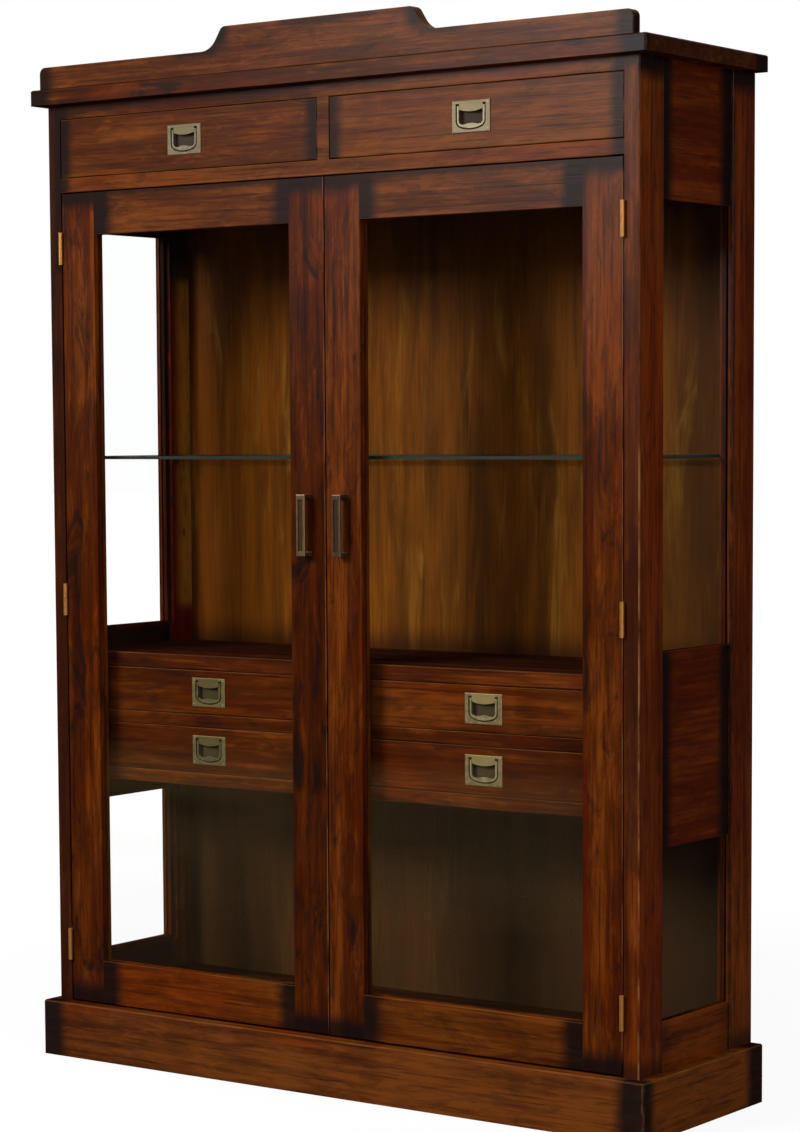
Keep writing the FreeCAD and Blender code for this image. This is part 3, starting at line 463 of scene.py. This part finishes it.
def aged_metal(
    name,
    shade,
    bright,
    roughness,
    seed,
    recess=None,
    tongue=None,
    bevel_light_tone=1.35,
    top_highlight_tone=2.6,
):
    """Tarnished brass with painted highlights on its bevels and upward faces.

    The bevels are painted lighter, or darker where their tone is below one.  recess is a
    (plane, tint) behind which the metal is dull and dark, partly patina and partly
    painted shade, and tongue a (centre, half width, foot, tint) of the place in the middle
    of a pull plate.
    """
    n = Nodes.material(name)
    place = n.stretch(n.place(), (1.0, 1.0, 1.0), (seed, 0.0, seed))
    tarnish = n.noise(place, 95.0, 4.0, 0.62)
    fine = n.noise(place, 900.0, 3.0, 0.6)
    colour = n.blend(n.span(tarnish, 0.30, 0.72), shade, bright)
    # Painted highlight on the bevels, or painted shade where the tone is below one
    bevel_painted_light = tuple(min(1.0, part * bevel_light_tone) for part in bright)
    colour = n.blend(n.math("MULTIPLY", n.bevels(), 0.8), colour, bevel_painted_light)
    if tongue:
        centre, half, foot, tint = tongue
        across, _, height = n.parts(n.place())
        offset = n.math("ABSOLUTE", n.math("SUBTRACT", across, centre))
        within = n.math("LESS_THAN", offset, half)
        within = n.math("MULTIPLY", within, n.math("GREATER_THAN", height, foot))
        colour = n.blend(n.math("MULTIPLY", within, 0.8), colour, tint)
    # Painted highlight on upward faces
    top_highlight = tuple(min(1.0, part * top_highlight_tone) for part in bright)
    upward = n.parts(n.facing())[2]
    colour = n.blend(n.span(upward, 0.35, 0.8, 0.0, 0.8), colour, top_highlight)
    metallic = METAL_SHARE
    dullness = n.math("MULTIPLY_ADD", tarnish, 0.25, roughness - 0.1)
    gleam = 0.5
    # The dull dark recess is patina in the hollow and painted shade
    if recess:
        plane, tint = recess
        inside = n.math("GREATER_THAN", n.parts(n.place())[1], plane)
        patch = n.math("MULTIPLY_ADD", fine, 0.3, 0.75)
        colour = n.blend(n.math("MULTIPLY", inside, patch), colour, tint)
        metallic = n.math("MULTIPLY_ADD", inside, -METAL_SHARE, METAL_SHARE)
        dullness = n.math("MULTIPLY_ADD", inside, 0.3, dullness)
        gleam = n.math("MULTIPLY_ADD", inside, -0.38, 0.5)
    bump = n.node("ShaderNodeBump", {"Strength": 0.25, "Distance": 0.0002, "Height": fine})
    shader = n.node(
        "ShaderNodeBsdfPrincipled",
        {
            "Base Color": colour,
            "Metallic": metallic,
            "Roughness": dullness,
            "Specular IOR Level": gleam,
            "Normal": bump.outputs[0],
        },
    )
    return n.surface(shader.outputs[0])


def steel(name):
    """Dull sheet steel with a faint brushed grain."""
    n = Nodes.material(name)
    brushed = n.noise(n.stretch(n.place(), (60.0, 900.0, 900.0)), 1.0, 3.0, 0.6)
    shader = n.node(
        "ShaderNodeBsdfPrincipled",
        {
            "Base Color": n.blend(brushed, (0.24, 0.24, 0.23), (0.5, 0.5, 0.48)),
            "Metallic": 0.9,
            "Roughness": n.math("MULTIPLY_ADD", brushed, 0.2, 0.3),
        },
    )
    return n.surface(shader.outputs[0])


def clear_glass(name, edge_axis=None, mirror=0.2, painted_reflection=False):
    """Clear sheet glass that mirrors more at a slant.

    Faces off edge_axis are green edges, and glass with a painted reflection has a thin
    diffuse film low down that paints the floor's reflection.
    """
    n = Nodes.material(name)
    place = n.place()
    smear = n.noise(n.stretch(place, (5.0, 5.0, 2.0)), 1.0, 4.0, 0.65)
    tint = n.blend(smear, (0.996, 0.999, 0.998), (0.999, 1.0, 0.9995))
    through = n.node("ShaderNodeBsdfTransparent", {"Color": tint})
    shine = n.node(
        "ShaderNodeBsdfGlossy",
        {"Color": (1.0, 1.0, 1.0, 1.0), "Roughness": n.span(smear, 0.3, 0.8, 0.02, 0.06)},
    )
    slant = n.node("ShaderNodeLayerWeight", {"Blend": 0.5}).outputs["Facing"]
    share = n.math("MULTIPLY_ADD", n.math("POWER", slant, 4.0), mirror, GLASS_SHEEN * mirror)
    pane = n.mix(share, through.outputs[0], shine.outputs[0])
    # Painted reflection: a thin streaked diffuse film low on the door glass stands in for the
    # floor's reflection
    if painted_reflection:
        height = n.parts(place)[2]
        reflection_streaks = n.noise(n.stretch(place, (2.0, 2.0, 14.0)), 1.0, 4.0, 0.6)
        level = n.math("MULTIPLY_ADD", reflection_streaks, 0.08, height)
        reflection_cover = n.span(level, PAINTED_REFLECTION_TOP + 0.01, PAINTED_REFLECTION_TOP + 0.07, PAINTED_REFLECTION_SHARE, 0.0)
        reflection_cover = n.math("MULTIPLY", reflection_cover, n.span(reflection_streaks, 0.25, 0.70, 0.45, 1.0))
        reflection_cover = n.math("MULTIPLY", reflection_cover, n.span(height, 0.15, 0.50, 0.35, 1.0))
        reflection_film = n.node("ShaderNodeBsdfDiffuse", {"Color": (0.25, 0.165, 0.060, 1.0)})
        pane = n.mix(reflection_cover, pane, reflection_film.outputs[0])
    if edge_axis is None:
        return n.surface(pane)
    face = n.parts(n.facing())["XYZ".index(edge_axis)]
    rim = n.math("LESS_THAN", n.math("ABSOLUTE", face), 0.7)
    band = n.noise(n.stretch(place, (9.0, 9.0, 300.0)), 1.0, 3.0)
    green = n.blend(band, (0.011, 0.013, 0.009), (0.033, 0.038, 0.026))
    edge = n.node(
        "ShaderNodeBsdfPrincipled",
        {"Base Color": green, "Roughness": 0.3, "Specular IOR Level": 0.25},
    )
    return n.surface(n.mix(rim, pane, edge.outputs[0]))


def dress(node, material):
    """Give a CAD piece its material."""
    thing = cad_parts[node]
    for slot in thing.material_slots:
        slot.material = material


def both_ends(node, axis, width):
    """Burns across both ends of a piece along one axis."""
    low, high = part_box(node)
    index = "XYZ".index(axis)
    return [(0.90, ((axis, end[index], width),)) for end in (low, high)]


def corners(node, width, front):
    """Burns at the upright corners of a board that runs round the front and sides.

    They reach as far as width along the board, and as far as front at its front corners
    on the sides.
    """
    low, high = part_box(node)
    return [
        (0.95, (("W", high.x, width), ("Y", low.y, front))),
        (0.95, (("W", high.x, width), ("Y", high.y, width))),
    ]


def dress_top():
    """The top slab, the crown board on it and the frame below it."""
    slab_burns = corners("top_slab", 0.050, 0.014)
    slab_burns.append((0.55, (("W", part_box("top_slab")[1].x, 0.006),)))
    slab = timber("slab_timber", "X", 0.40, sooty=0.75, burns_and_shade=slab_burns, seed=1.0, wear=0.12)
    dress("top_slab", slab)
    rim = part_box("crown_board")[1].z
    crown_burns = both_ends("crown_board", "X", 0.034) + [
        (0.95, (("W", CROWN_SHOULDER, 0.030), ("Z", rim - 0.010, 0.030))),
        (0.80, (("W", CROWN_SHOULDER + 0.045, 0.050), ("Z", CROWN_LEDGE, 0.010))),
        (0.75, (("X", -0.010, 0.075), ("Z", rim, 0.014))),
        (0.60, (("X", 0.090, 0.040), ("Z", rim, 0.009))),
    ]
    crown = timber("crown_timber", "X", 0.47, sooty=0.6, burns_and_shade=crown_burns, seed=2.0)
    dress("crown_board", crown)
    # The dark band under the slab is a painted shadow; the lights paint shade at the left and
    # light at the right under the slab, and light along the foot
    frieze_burns_and_shade = both_ends("front_frame", "X", 0.024) + [(0.70, (("Z", SLAB_BOTTOM, 0.013),))]
    frieze_painted_light = [
        (-0.30, (("X", -0.45, 0.42), ("Z", SLAB_BOTTOM, 0.030))),
        (0.32, (("X", 0.38, 0.22), ("Z", SLAB_BOTTOM, 0.030))),
        (0.05, (("Z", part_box("front_frame")[0].z, 0.030),)),
    ]
    frieze = timber("frame_timber", "X", 0.60, burns_and_shade=frieze_burns_and_shade, painted_lights=frieze_painted_light, seed=3.0)
    dress("front_frame", frieze)


def dress_plinth():
    """Skirting boards, burnt at the corners, with painted light at the right and on the sides and
    painted shade at the left.
    """
    # Painted light at the right and on the side faces, painted shade at the left
    lights = [
        (0.18, (("X", 0.38, 0.25),)),
        (-0.14, (("X", -0.60, 0.30),)),
        (0.22, (("W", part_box("plinth_boards")[1].x, 0.012),)),
    ]
    plinth = timber(
        "plinth_timber",
        "X",
        0.58,
        sooty=0.35,
        burns_and_shade=corners("plinth_boards", 0.052, 0.034),
        painted_lights=lights,
        seed=4.0,
        wear=0.22,
        boxed=True,
    )
    dress("plinth_boards", plinth)


def dress_posts():
    """Corner posts: darker at both ends and round the windows, redder outside, with painted shadow
    under the slab and painted light and shade.
    """
    outer_face = ("W", HALF_BODY, 0.003)
    left_inner_face = ("X", -POST_INNER, 0.012)
    left_front = (("X", -POST_CENTRE, 0.025), ("Y", BODY_FRONT, 0.010))
    front_side = ("Y", FRONT_POST_MIDDLE, 0.036)
    rear_side = ("Y", REAR_POST_MIDDLE, 0.040)
    burns_and_shade = [
        (0.55, left_front),
        # These two paint the slab's shadow at the tops of the posts
        (0.97, (("Z", SLAB_BOTTOM, 0.036), ("W", HALF_BODY, 0.004))),
        (0.80, (("Z", SLAB_BOTTOM, 0.020),)),
        (0.65, (("Z", PLINTH_TOP, 0.028),)),
        (0.80, (("Y", REAR_POST_FRONT, 0.004), ("W", HALF_BODY, 0.004))),
        (0.90, (("Y", REAR_POST_FRONT + 0.006, 0.006), ("X", -POST_CENTRE + 0.008, 0.006))),
        # Painted shade under the top on the left posts' inner faces
        (0.90, (("X", -POST_INNER, 0.020), ("Z", SLAB_BOTTOM, 0.32))),
        (0.40, (("Y", REAR_POST_FRONT + 0.004, 0.009), ("W", POST_INNER + 0.011, 0.013))),
        (0.45, (("X", POST_CENTRE, 0.020), ("Y", BODY_FRONT, 0.006), ("Z", 0.95, 0.50))),
    ]
    # Painted light on the outer faces and the right rear post's inner face, painted shade on the
    # left front post's front
    lights = [
        (0.13, (front_side, outer_face)),
        (0.10, (front_side, outer_face, ("Z", 1.5, 0.4))),
        (0.12, (rear_side, outer_face)),
        (0.30, (("Y", REAR_POST_MIDDLE, 0.060), ("X", POST_INNER, 0.012))),
        (-0.20, left_front),
    ]
    # The first two are a red stain outside; the last three paint shade, reflected red light and a
    # lit golden patch on the left rear post's inner face
    stains_and_painted_light = [
        (0.28, (("Y", FRONT_POST_MIDDLE, 0.045), outer_face, ("Z", 0.9, 0.75)), RED_STAIN_AND_SHADE),
        (0.22, (("Y", REAR_POST_MIDDLE, 0.045), outer_face, ("Z", 1.2, 0.75)), RED_STAIN_AND_SHADE),
        (0.85, (("Y", BODY_BACK, 0.055), left_inner_face, ("Z", 1.19, 0.34)), PAINTED_LIGHT_GOLD),
        (0.75, (("Y", REAR_POST_FRONT, 0.030), left_inner_face, ("Z", 1.05, 0.45)), RED_STAIN_AND_SHADE),
        (0.75, (("Y", BODY_BACK, 0.090), left_inner_face, ("Z", 0.79, 0.060)), RED_STAIN_AND_SHADE),
    ]
    posts = timber(
        "post_timber",
        "Z",
        0.47,
        red=0.5,
        sooty=0.5,
        burns_and_shade=burns_and_shade,
        painted_lights=lights,
        stains_and_painted_light=stains_and_painted_light,
        mottle=0.36,
        seed=5.0,
        sheen=(0.03, 0.08),
        wear=0.75,
        wear_top=1.25,
    )
    dress("side_stiles", posts)


def dress_side_rails():
    """Side boards, burnt at both ends except for the lowest ones, with painted light on their
    outer faces.
    """
    outside = ("W", HALF_BODY, 0.02)
    above_foot = ("Z", 1.10, 0.85)
    burns_and_shade = []
    for _, bounds in both_ends("side_rails", "Y", 0.034):
        burns_and_shade += [(0.35, bounds), (0.98, (*bounds, above_foot))]
    burns_and_shade.append((0.85, (("W", HALF_BODY - 0.025, 0.006),)))
    rails = timber(
        "side_rail_timber",
        "Y",
        0.38,
        red=0.7,
        sooty=0.3,
        burns_and_shade=burns_and_shade,
        # Painted light on the outer faces, strongest on the lowest board
        painted_lights=[(0.04, (outside,)), (0.28, (outside, ("Z", 0.13, 0.08)))],
        stains_and_painted_light=[(0.25, (outside, ("Z", 1.1, 0.8)), RED_STAIN_AND_SHADE)],
        seed=6.0,
        wear=0.15,
    )
    dress("side_rails", rails)


def dress_bank():
    """Boards and posts round the inner drawers."""
    low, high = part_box("bank_top_board")
    depth = high.y - low.y - 0.004
    # Painted shade on the top face of the top board, short of its front edge
    painted_top_shade = (("Z", high.z, 0.003), ("Y", high.y - depth / 2, depth / 2))
    top_board = timber(
        "bank_top_timber",
        "X",
        0.34,
        red=0.5,
        burns_and_shade=[(0.62, painted_top_shade)],
        seed=8.0,
        gloss=0.6,
        sheen=DULL_SHEEN,
        wear=0.2,
    )
    dress("bank_top_board", top_board)
    bottom_board = timber("bank_bottom_timber", "X", 0.42, red=0.2, seed=9.0, sheen=DULL_SHEEN)
    dress("bank_bottom_board", bottom_board)
    members = timber("bank_front_timber", "X", 0.38, 0.4, 0.6, seed=10.0, sheen=DULL_SHEEN)
    dress("bank_front_members", members)


def dress_inside():
    """Floor, back and the plain boards that are mostly out of sight."""
    dress("floor_board", timber("floor_timber", "X", 0.14, sooty=0.9, seed=7.0, gloss=0.6))
    inner = timber("inner_timber", "Y", 0.40, 0.2, 0.3, seed=11.0, gloss=0.5, wear=0.2)
    for node in ("bank_partitions", "bank_runners", "top_drawer_runners"):
        dress(node, inner)
    cross = timber("inner_cross_timber", "X", 0.36, 0.3, seed=12.0, gloss=0.5, wear=0.2)
    dress("base_rails", cross)
    dress("dust_board", cross)
    dress("side_glass_beads", timber("bead_timber", "Z", 0.08, 0.4, 0.8, seed=13.0, wear=0.2))
    dress("back_panel", veneer("back_veneer"))


def dress_doors():
    """Stiles and rails, burnt where they meet, with painted light and shade, their beads, and
    panes with a painted reflection low down.
    """
    inner_x, outer_x = DOOR_GLASS_SIDE
    for index, side in enumerate(SIDES):
        sign = 1 if side == "right" else -1
        ends = [(0.93, (("Z", DOOR_HIGH.z, 0.028),)), (0.93, (("Z", DOOR_LOW.z, 0.034),))]
        if side == "right":
            # Painted light high on the outer stile and painted shade lower down
            lights = [
                (0.18, (("X", DOOR_HIGH.x, 0.080), ("Z", DOOR_HIGH.z, 0.42))),
                (-0.09, (("X", DOOR_HIGH.x, 0.080), ("Z", 0.45, 0.25))),
            ]
            stains_and_painted_light = [(0.5, (("X", outer_x, 0.009), ("Z", 0.46, 0.17)), RED_STAIN_AND_SHADE)]
        else:
            # Painted shade on the middle of the meeting stile
            lights = [(-0.20, (("X", 0.0, 0.080), ("Z", 1.0, 0.45)))]
            stains_and_painted_light = []
        stile = timber(
            f"{side}_stile_timber",
            "Z",
            0.44 + 0.03 * sign,
            red=0.45,
            sooty=0.8,
            burns_and_shade=ends,
            painted_lights=lights,
            stains_and_painted_light=stains_and_painted_light,
            mottle=0.42,
            seed=20.0 + index,
            sheen=DOOR_SHEEN,
            wear=0.5,
        )
        dress(f"{side}_door_stiles", stile)
        joints = [
            (0.92, (("X", sign * inner_x, 0.036),)),
            (0.95, (("X", sign * outer_x, 0.042),)),
            (0.75, (("Z", DOOR_HIGH.z, 0.009),)),
        ]
        # Painted light along the left door's bottom rail
        rail_painted_light = [(0.10 if side == "left" else 0.0, (("Z", DOOR_LOW.z, 0.1),))]
        rail = timber(
            f"{side}_rail_timber",
            "X",
            0.53,
            sooty=0.4,
            burns_and_shade=joints,
            painted_lights=rail_painted_light,
            seed=24.0 + index,
            sheen=DOOR_SHEEN,
        )
        dress(f"{side}_door_rails", rail)
        beads = timber(f"{side}_bead_timber", "Z", 0.5, red=0.3, seed=28.0 + index)
        dress(f"{side}_door_beads", beads)
        dress(f"{side}_door_glass", clear_glass(f"{side}_door_glass_clear", painted_reflection=True))


def drawer_front(name, level, side, seed):
    """Timber of a drawer front: brighter and burnt wider on the two top drawers."""
    right = side == "right"
    if level == "top":
        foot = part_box(f"{name}_front")[0].z
        return timber(
            f"{name}_timber",
            "X",
            0.63 if right else 0.48,
            sooty=0.25,
            burns_and_shade=both_ends(f"{name}_front", "X", 0.024),
            # Painted light along the lower part of the front
            painted_lights=[(0.10, (("Z", foot + 0.018, 0.022),))],
            seed=seed,
        )
    return timber(
        f"{name}_timber",
        "X",
        0.47 if right else 0.38,
        red=0.3,
        burns_and_shade=both_ends(f"{name}_front", "X", 0.014),
        seed=seed,
        sheen=DULL_SHEEN,
    )


def dress_drawers():
    """Fronts, boxes and pulls of the six drawers."""
    box = timber(
        "drawer_box_timber", "Y", 0.62, sooty=0.1, seed=14.0, gloss=0.55, wear=0.1, boxed=True
    )
    for level in LEVELS:
        for side in SIDES:
            name = f"{level}_{side}_drawer"
            seed = 30.0 + 2 * LEVELS.index(level) + SIDES.index(side)
            dress(f"{name}_front", drawer_front(name, level, side, seed))
            dress(f"{name}_box", box)
            plate_low, plate_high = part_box(f"{name}_pull_plate")
            middle = (plate_low + plate_high) / 2
            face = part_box(f"{name}_front")[0].y
            tones = PULL_TONES["top" if level == "top" else side]
            # The plate's cup is dark: patina and painted shade round the bail
            plate = aged_metal(
                f"{name}_plate_brass",
                tones[0],
                tones[1],
                0.46,
                seed,
                recess=(face + CUP_DEPTH, tones[2]),
                tongue=(middle.x, TONGUE_HALF, middle.z + TONGUE_FOOT, tones[3]),
            )
            dress(f"{name}_pull_plate", plate)
            # The bail's bevels are painted dark, as shade on its rounded sides
            bail = aged_metal(f"{name}_bail_brass", tones[4], tones[5], 0.38, seed, bevel_light_tone=0.2)
            dress(f"{name}_bail", bail)


def dress_hardware():
    """Hinges, handles, catches, shelf brackets and the remaining glass."""
    hinge = aged_metal("hinge_brass", (0.230, 0.083, 0.015), (0.410, 0.178, 0.038), 0.34, 50.0)
    dress("hinge_frame_leaves", hinge)
    channel = (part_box("right_door_handle")[0].y + CHANNEL_DEPTH, (0.030, 0.0150, 0.0018))
    plain_steel = steel("catch_steel")
    for side in SIDES:
        dress(f"{side}_door_hinge_leaves", hinge)
        # The bars' upward faces carry a strong painted highlight
        bar = aged_metal(
            f"{side}_bar_brass", *BAR_TONES[side], 0.40, 51.0, recess=channel, top_highlight_tone=9.0
        )
        dress(f"{side}_door_handle", bar)
        dress(f"{side}_door_catch_plate", plain_steel)
    dress("magnetic_catches", plain_steel)
    bracket = aged_metal("bracket_brass", (0.030, 0.020, 0.010), (0.060, 0.042, 0.024), 0.6, 53.0)
    dress("shelf_brackets", bracket)
    dress("side_glass", clear_glass("side_glass_clear", mirror=0.04))
    dress("glass_shelf", clear_glass("shelf_glass", edge_axis="Z"))


def add_piece(name, mesh, material, body):
    """Turn a mesh in the making into a visible piece that moves with a body."""
    bmesh.ops.recalc_face_normals(mesh, faces=mesh.faces)
    data = bpy.data.meshes.new(name)
    mesh.to_mesh(data)
    mesh.free()
    data.materials.append(material)
    piece = bpy.data.objects.new(name, data)
    bpy.context.collection.objects.link(piece)
    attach(piece, body)


def add_screw_half(mesh, place, side):
    """One half of a round head that faces the front, above or below its slot."""
    rings = (
        (1.0, -SCREW_SUNK),
        (1.0, 0.35 * SCREW_HEIGHT),
        (0.72, 0.8 * SCREW_HEIGHT),
        (0.0, SCREW_HEIGHT),
    )
    rows = []
    for reach, lift in rings:
        row = []
        for step in range(SCREW_STEPS + 1):
            angle = math.pi * step / SCREW_STEPS
            across = SCREW_RADIUS * reach * math.cos(angle)
            up = side * max(SCREW_SLIT, SCREW_RADIUS * reach * math.sin(angle))
            row.append(mesh.verts.new(place + Vector((across, -lift, up))))
        rows.append(row)
    for lower, upper in zip(rows, rows[1:]):
        for step in range(SCREW_STEPS):
            quad = (lower[step], lower[step + 1], upper[step + 1], upper[step])
            mesh.faces.new(quad if side > 0 else quad[::-1])


def add_screw(mesh, place):
    """Slotted round head with a flat floor under the slot."""
    for side in (-1, 1):
        add_screw_half(mesh, place, side)
    floor = []
    for step in range(2 * SCREW_STEPS):
        angle = math.pi * step / SCREW_STEPS
        turn = Vector((math.cos(angle), 0.0, math.sin(angle)))
        floor.append(mesh.verts.new(place + turn * SCREW_RADIUS * 0.98))
    mesh.faces.new(floor)


def add_pull_screws():
    """Four screws near the corners of each pull plate."""
    brass = aged_metal("screw_brass", (0.120, 0.092, 0.050), (0.330, 0.270, 0.170), 0.36, 52.0)
    for level in LEVELS:
        for side in SIDES:
            name = f"{level}_{side}_drawer"
            low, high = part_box(f"{name}_pull_plate")
            mesh = bmesh.new()
            for x in (low.x + SCREW_INSET, high.x - SCREW_INSET):
                for z in (low.z + SCREW_INSET, high.z - SCREW_INSET):
                    add_screw(mesh, Vector((x, low.y, z)))
            bmesh.ops.remove_doubles(mesh, verts=mesh.verts, dist=1e-6)
            bmesh.ops.dissolve_degenerate(mesh, edges=mesh.edges, dist=1e-7)
            add_piece(f"{name}_pull_screws", mesh, brass, name)


def add_threshold_strip():
    """Thin strip that closes the seam between the front base rail and the floor board."""
    front = BODY_FRONT + BASE_RAIL_DEPTH
    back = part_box("floor_board")[0].y
    top = PLINTH_TOP
    foot = top - STRIP_HEIGHT
    profile = [
        (front, top),
        (back, top),
        (back, foot + STRIP_BEVEL),
        (back - STRIP_BEVEL, foot),
        (front + STRIP_BEVEL, foot),
        (front, foot + STRIP_BEVEL),
    ]
    mesh = bmesh.new()
    ends = []
    for end in (-POST_INNER, POST_INNER):
        ends.append([mesh.verts.new((end, y, z)) for y, z in profile])
    for end in ends:
        mesh.faces.new(end)
    for index in range(len(profile)):
        after = (index + 1) % len(profile)
        mesh.faces.new((ends[0][index], ends[0][after], ends[1][after], ends[1][index]))
    material = timber("strip_timber", "X", 0.22, 0.3, 0.7, seed=15.0, gloss=0.5, wear=0.1)
    add_piece("threshold_strip", mesh, material, "cabinet")


def make_floor():
    """Pale floor that keeps the cabinet's soft shadow and stays near white in the picture."""
    mesh = bpy.data.meshes.new("floor")
    reach = FLOOR_REACH
    outline = [(-reach, -reach, 0), (reach, -reach, 0), (reach, reach, 0), (-reach, reach, 0)]
    mesh.from_pydata(outline, [], [(0, 1, 2, 3)])
    floor = bpy.data.objects.new("floor", mesh)
    bpy.context.collection.objects.link(floor)
    n = Nodes.material("pale_floor")
    speckle = n.blend(n.noise(n.place(), 60.0, 3.0), (0.21, 0.21, 0.21), (0.24, 0.24, 0.24))
    matt = n.node("ShaderNodeBsdfDiffuse", {"Color": speckle})
    away = n.node("ShaderNodeVectorMath", {0: n.place()}, operation="LENGTH").outputs["Value"]
    strength = n.span(away, 1.0, 5.0, 1.62, 1.85)
    glow = n.node("ShaderNodeEmission", {"Color": (1.0, 1.0, 1.0, 1.0), "Strength": strength})
    seen = n.node("ShaderNodeLightPath").outputs["Is Camera Ray"]
    mixed = n.mix(n.math("MULTIPLY", seen, 0.56), matt.outputs[0], glow.outputs[0])
    mesh.materials.append(n.surface(mixed))


def make_world():
    """White studio: white to the camera and behind the cabinet, dimmer in front of it."""
    world = bpy.data.worlds.new("studio")
    bpy.context.scene.world = world
    n = Nodes(world, "ShaderNodeOutputWorld")
    path = n.node("ShaderNodeLightPath").outputs
    mirrored = n.math("MAXIMUM", path["Is Glossy Ray"], path["Is Transmission Ray"])
    backward = (-math.sin(CAMERA_YAW), math.cos(CAMERA_YAW), 0.0)
    toward = n.node(
        "ShaderNodeVectorMath",
        {0: n.node("ShaderNodeTexCoord").outputs["Generated"], 1: backward},
        operation="DOT_PRODUCT",
    )
    behind = n.node(
        "ShaderNodeMapRange",
        {"Value": toward.outputs["Value"], "From Min": 0.62, "From Max": 0.88},
    )
    white = n.math("MULTIPLY", mirrored, behind.outputs[0])
    white = n.math("MAXIMUM", path["Is Camera Ray"], white)
    dim = n.node(
        "ShaderNodeMapRange",
        {"Value": mirrored, "To Min": WORLD_LIGHT, "To Max": WORLD_MIRRORED},
    )
    strength = n.math("MAXIMUM", dim.outputs[0], white)
    glow = n.node("ShaderNodeBackground", {"Color": (1.0, 1.0, 1.0, 1.0), "Strength": strength})
    n.surface(glow.outputs[0])


def make_lamp(name, place, target, size, power):
    """Soft rectangular lamp aimed at a point."""
    lamp = bpy.data.lights.new(name, "AREA")
    lamp.shape = "RECTANGLE"
    lamp.size, lamp.size_y = size
    lamp.energy = power
    thing = bpy.data.objects.new(name, lamp)
    thing.location = place
    thing.rotation_euler = (Vector(target) - Vector(place)).to_track_quat("-Z", "Y").to_euler()
    bpy.context.collection.objects.link(thing)


def make_camera():
    """Camera at the photograph's viewpoint."""
    data = bpy.data.cameras.new("camera")
    data.sensor_width = SENSOR
    data.lens = FOCAL_PIXELS * SENSOR / PICTURE_HEIGHT
    data.shift_x = (PICTURE_WIDTH / 2 - CENTRE_PIXEL[0]) / PICTURE_HEIGHT
    data.shift_y = (CENTRE_PIXEL[1] - PICTURE_HEIGHT / 2) / PICTURE_HEIGHT
    camera = bpy.data.objects.new("camera", data)
    turn = Matrix.Rotation(CAMERA_YAW, 4, "Z")
    tilt = Matrix.Rotation(math.pi / 2 + CAMERA_PITCH, 4, "X")
    lean = Matrix.Rotation(CAMERA_ROLL, 4, "Z")
    camera.matrix_world = Matrix.Translation(CAMERA_PLACE) @ turn @ tilt @ lean
    bpy.context.collection.objects.link(camera)
    bpy.context.scene.camera = camera


dress_top()
dress_plinth()
dress_posts()
dress_side_rails()
dress_bank()
dress_inside()
dress_doors()
dress_drawers()
dress_hardware()
add_pull_screws()
add_threshold_strip()
make_floor()
make_world()
for settings in LAMPS:
    make_lamp(*settings)
make_camera()
bpy.context.scene.view_settings.view_transform = "Standard"
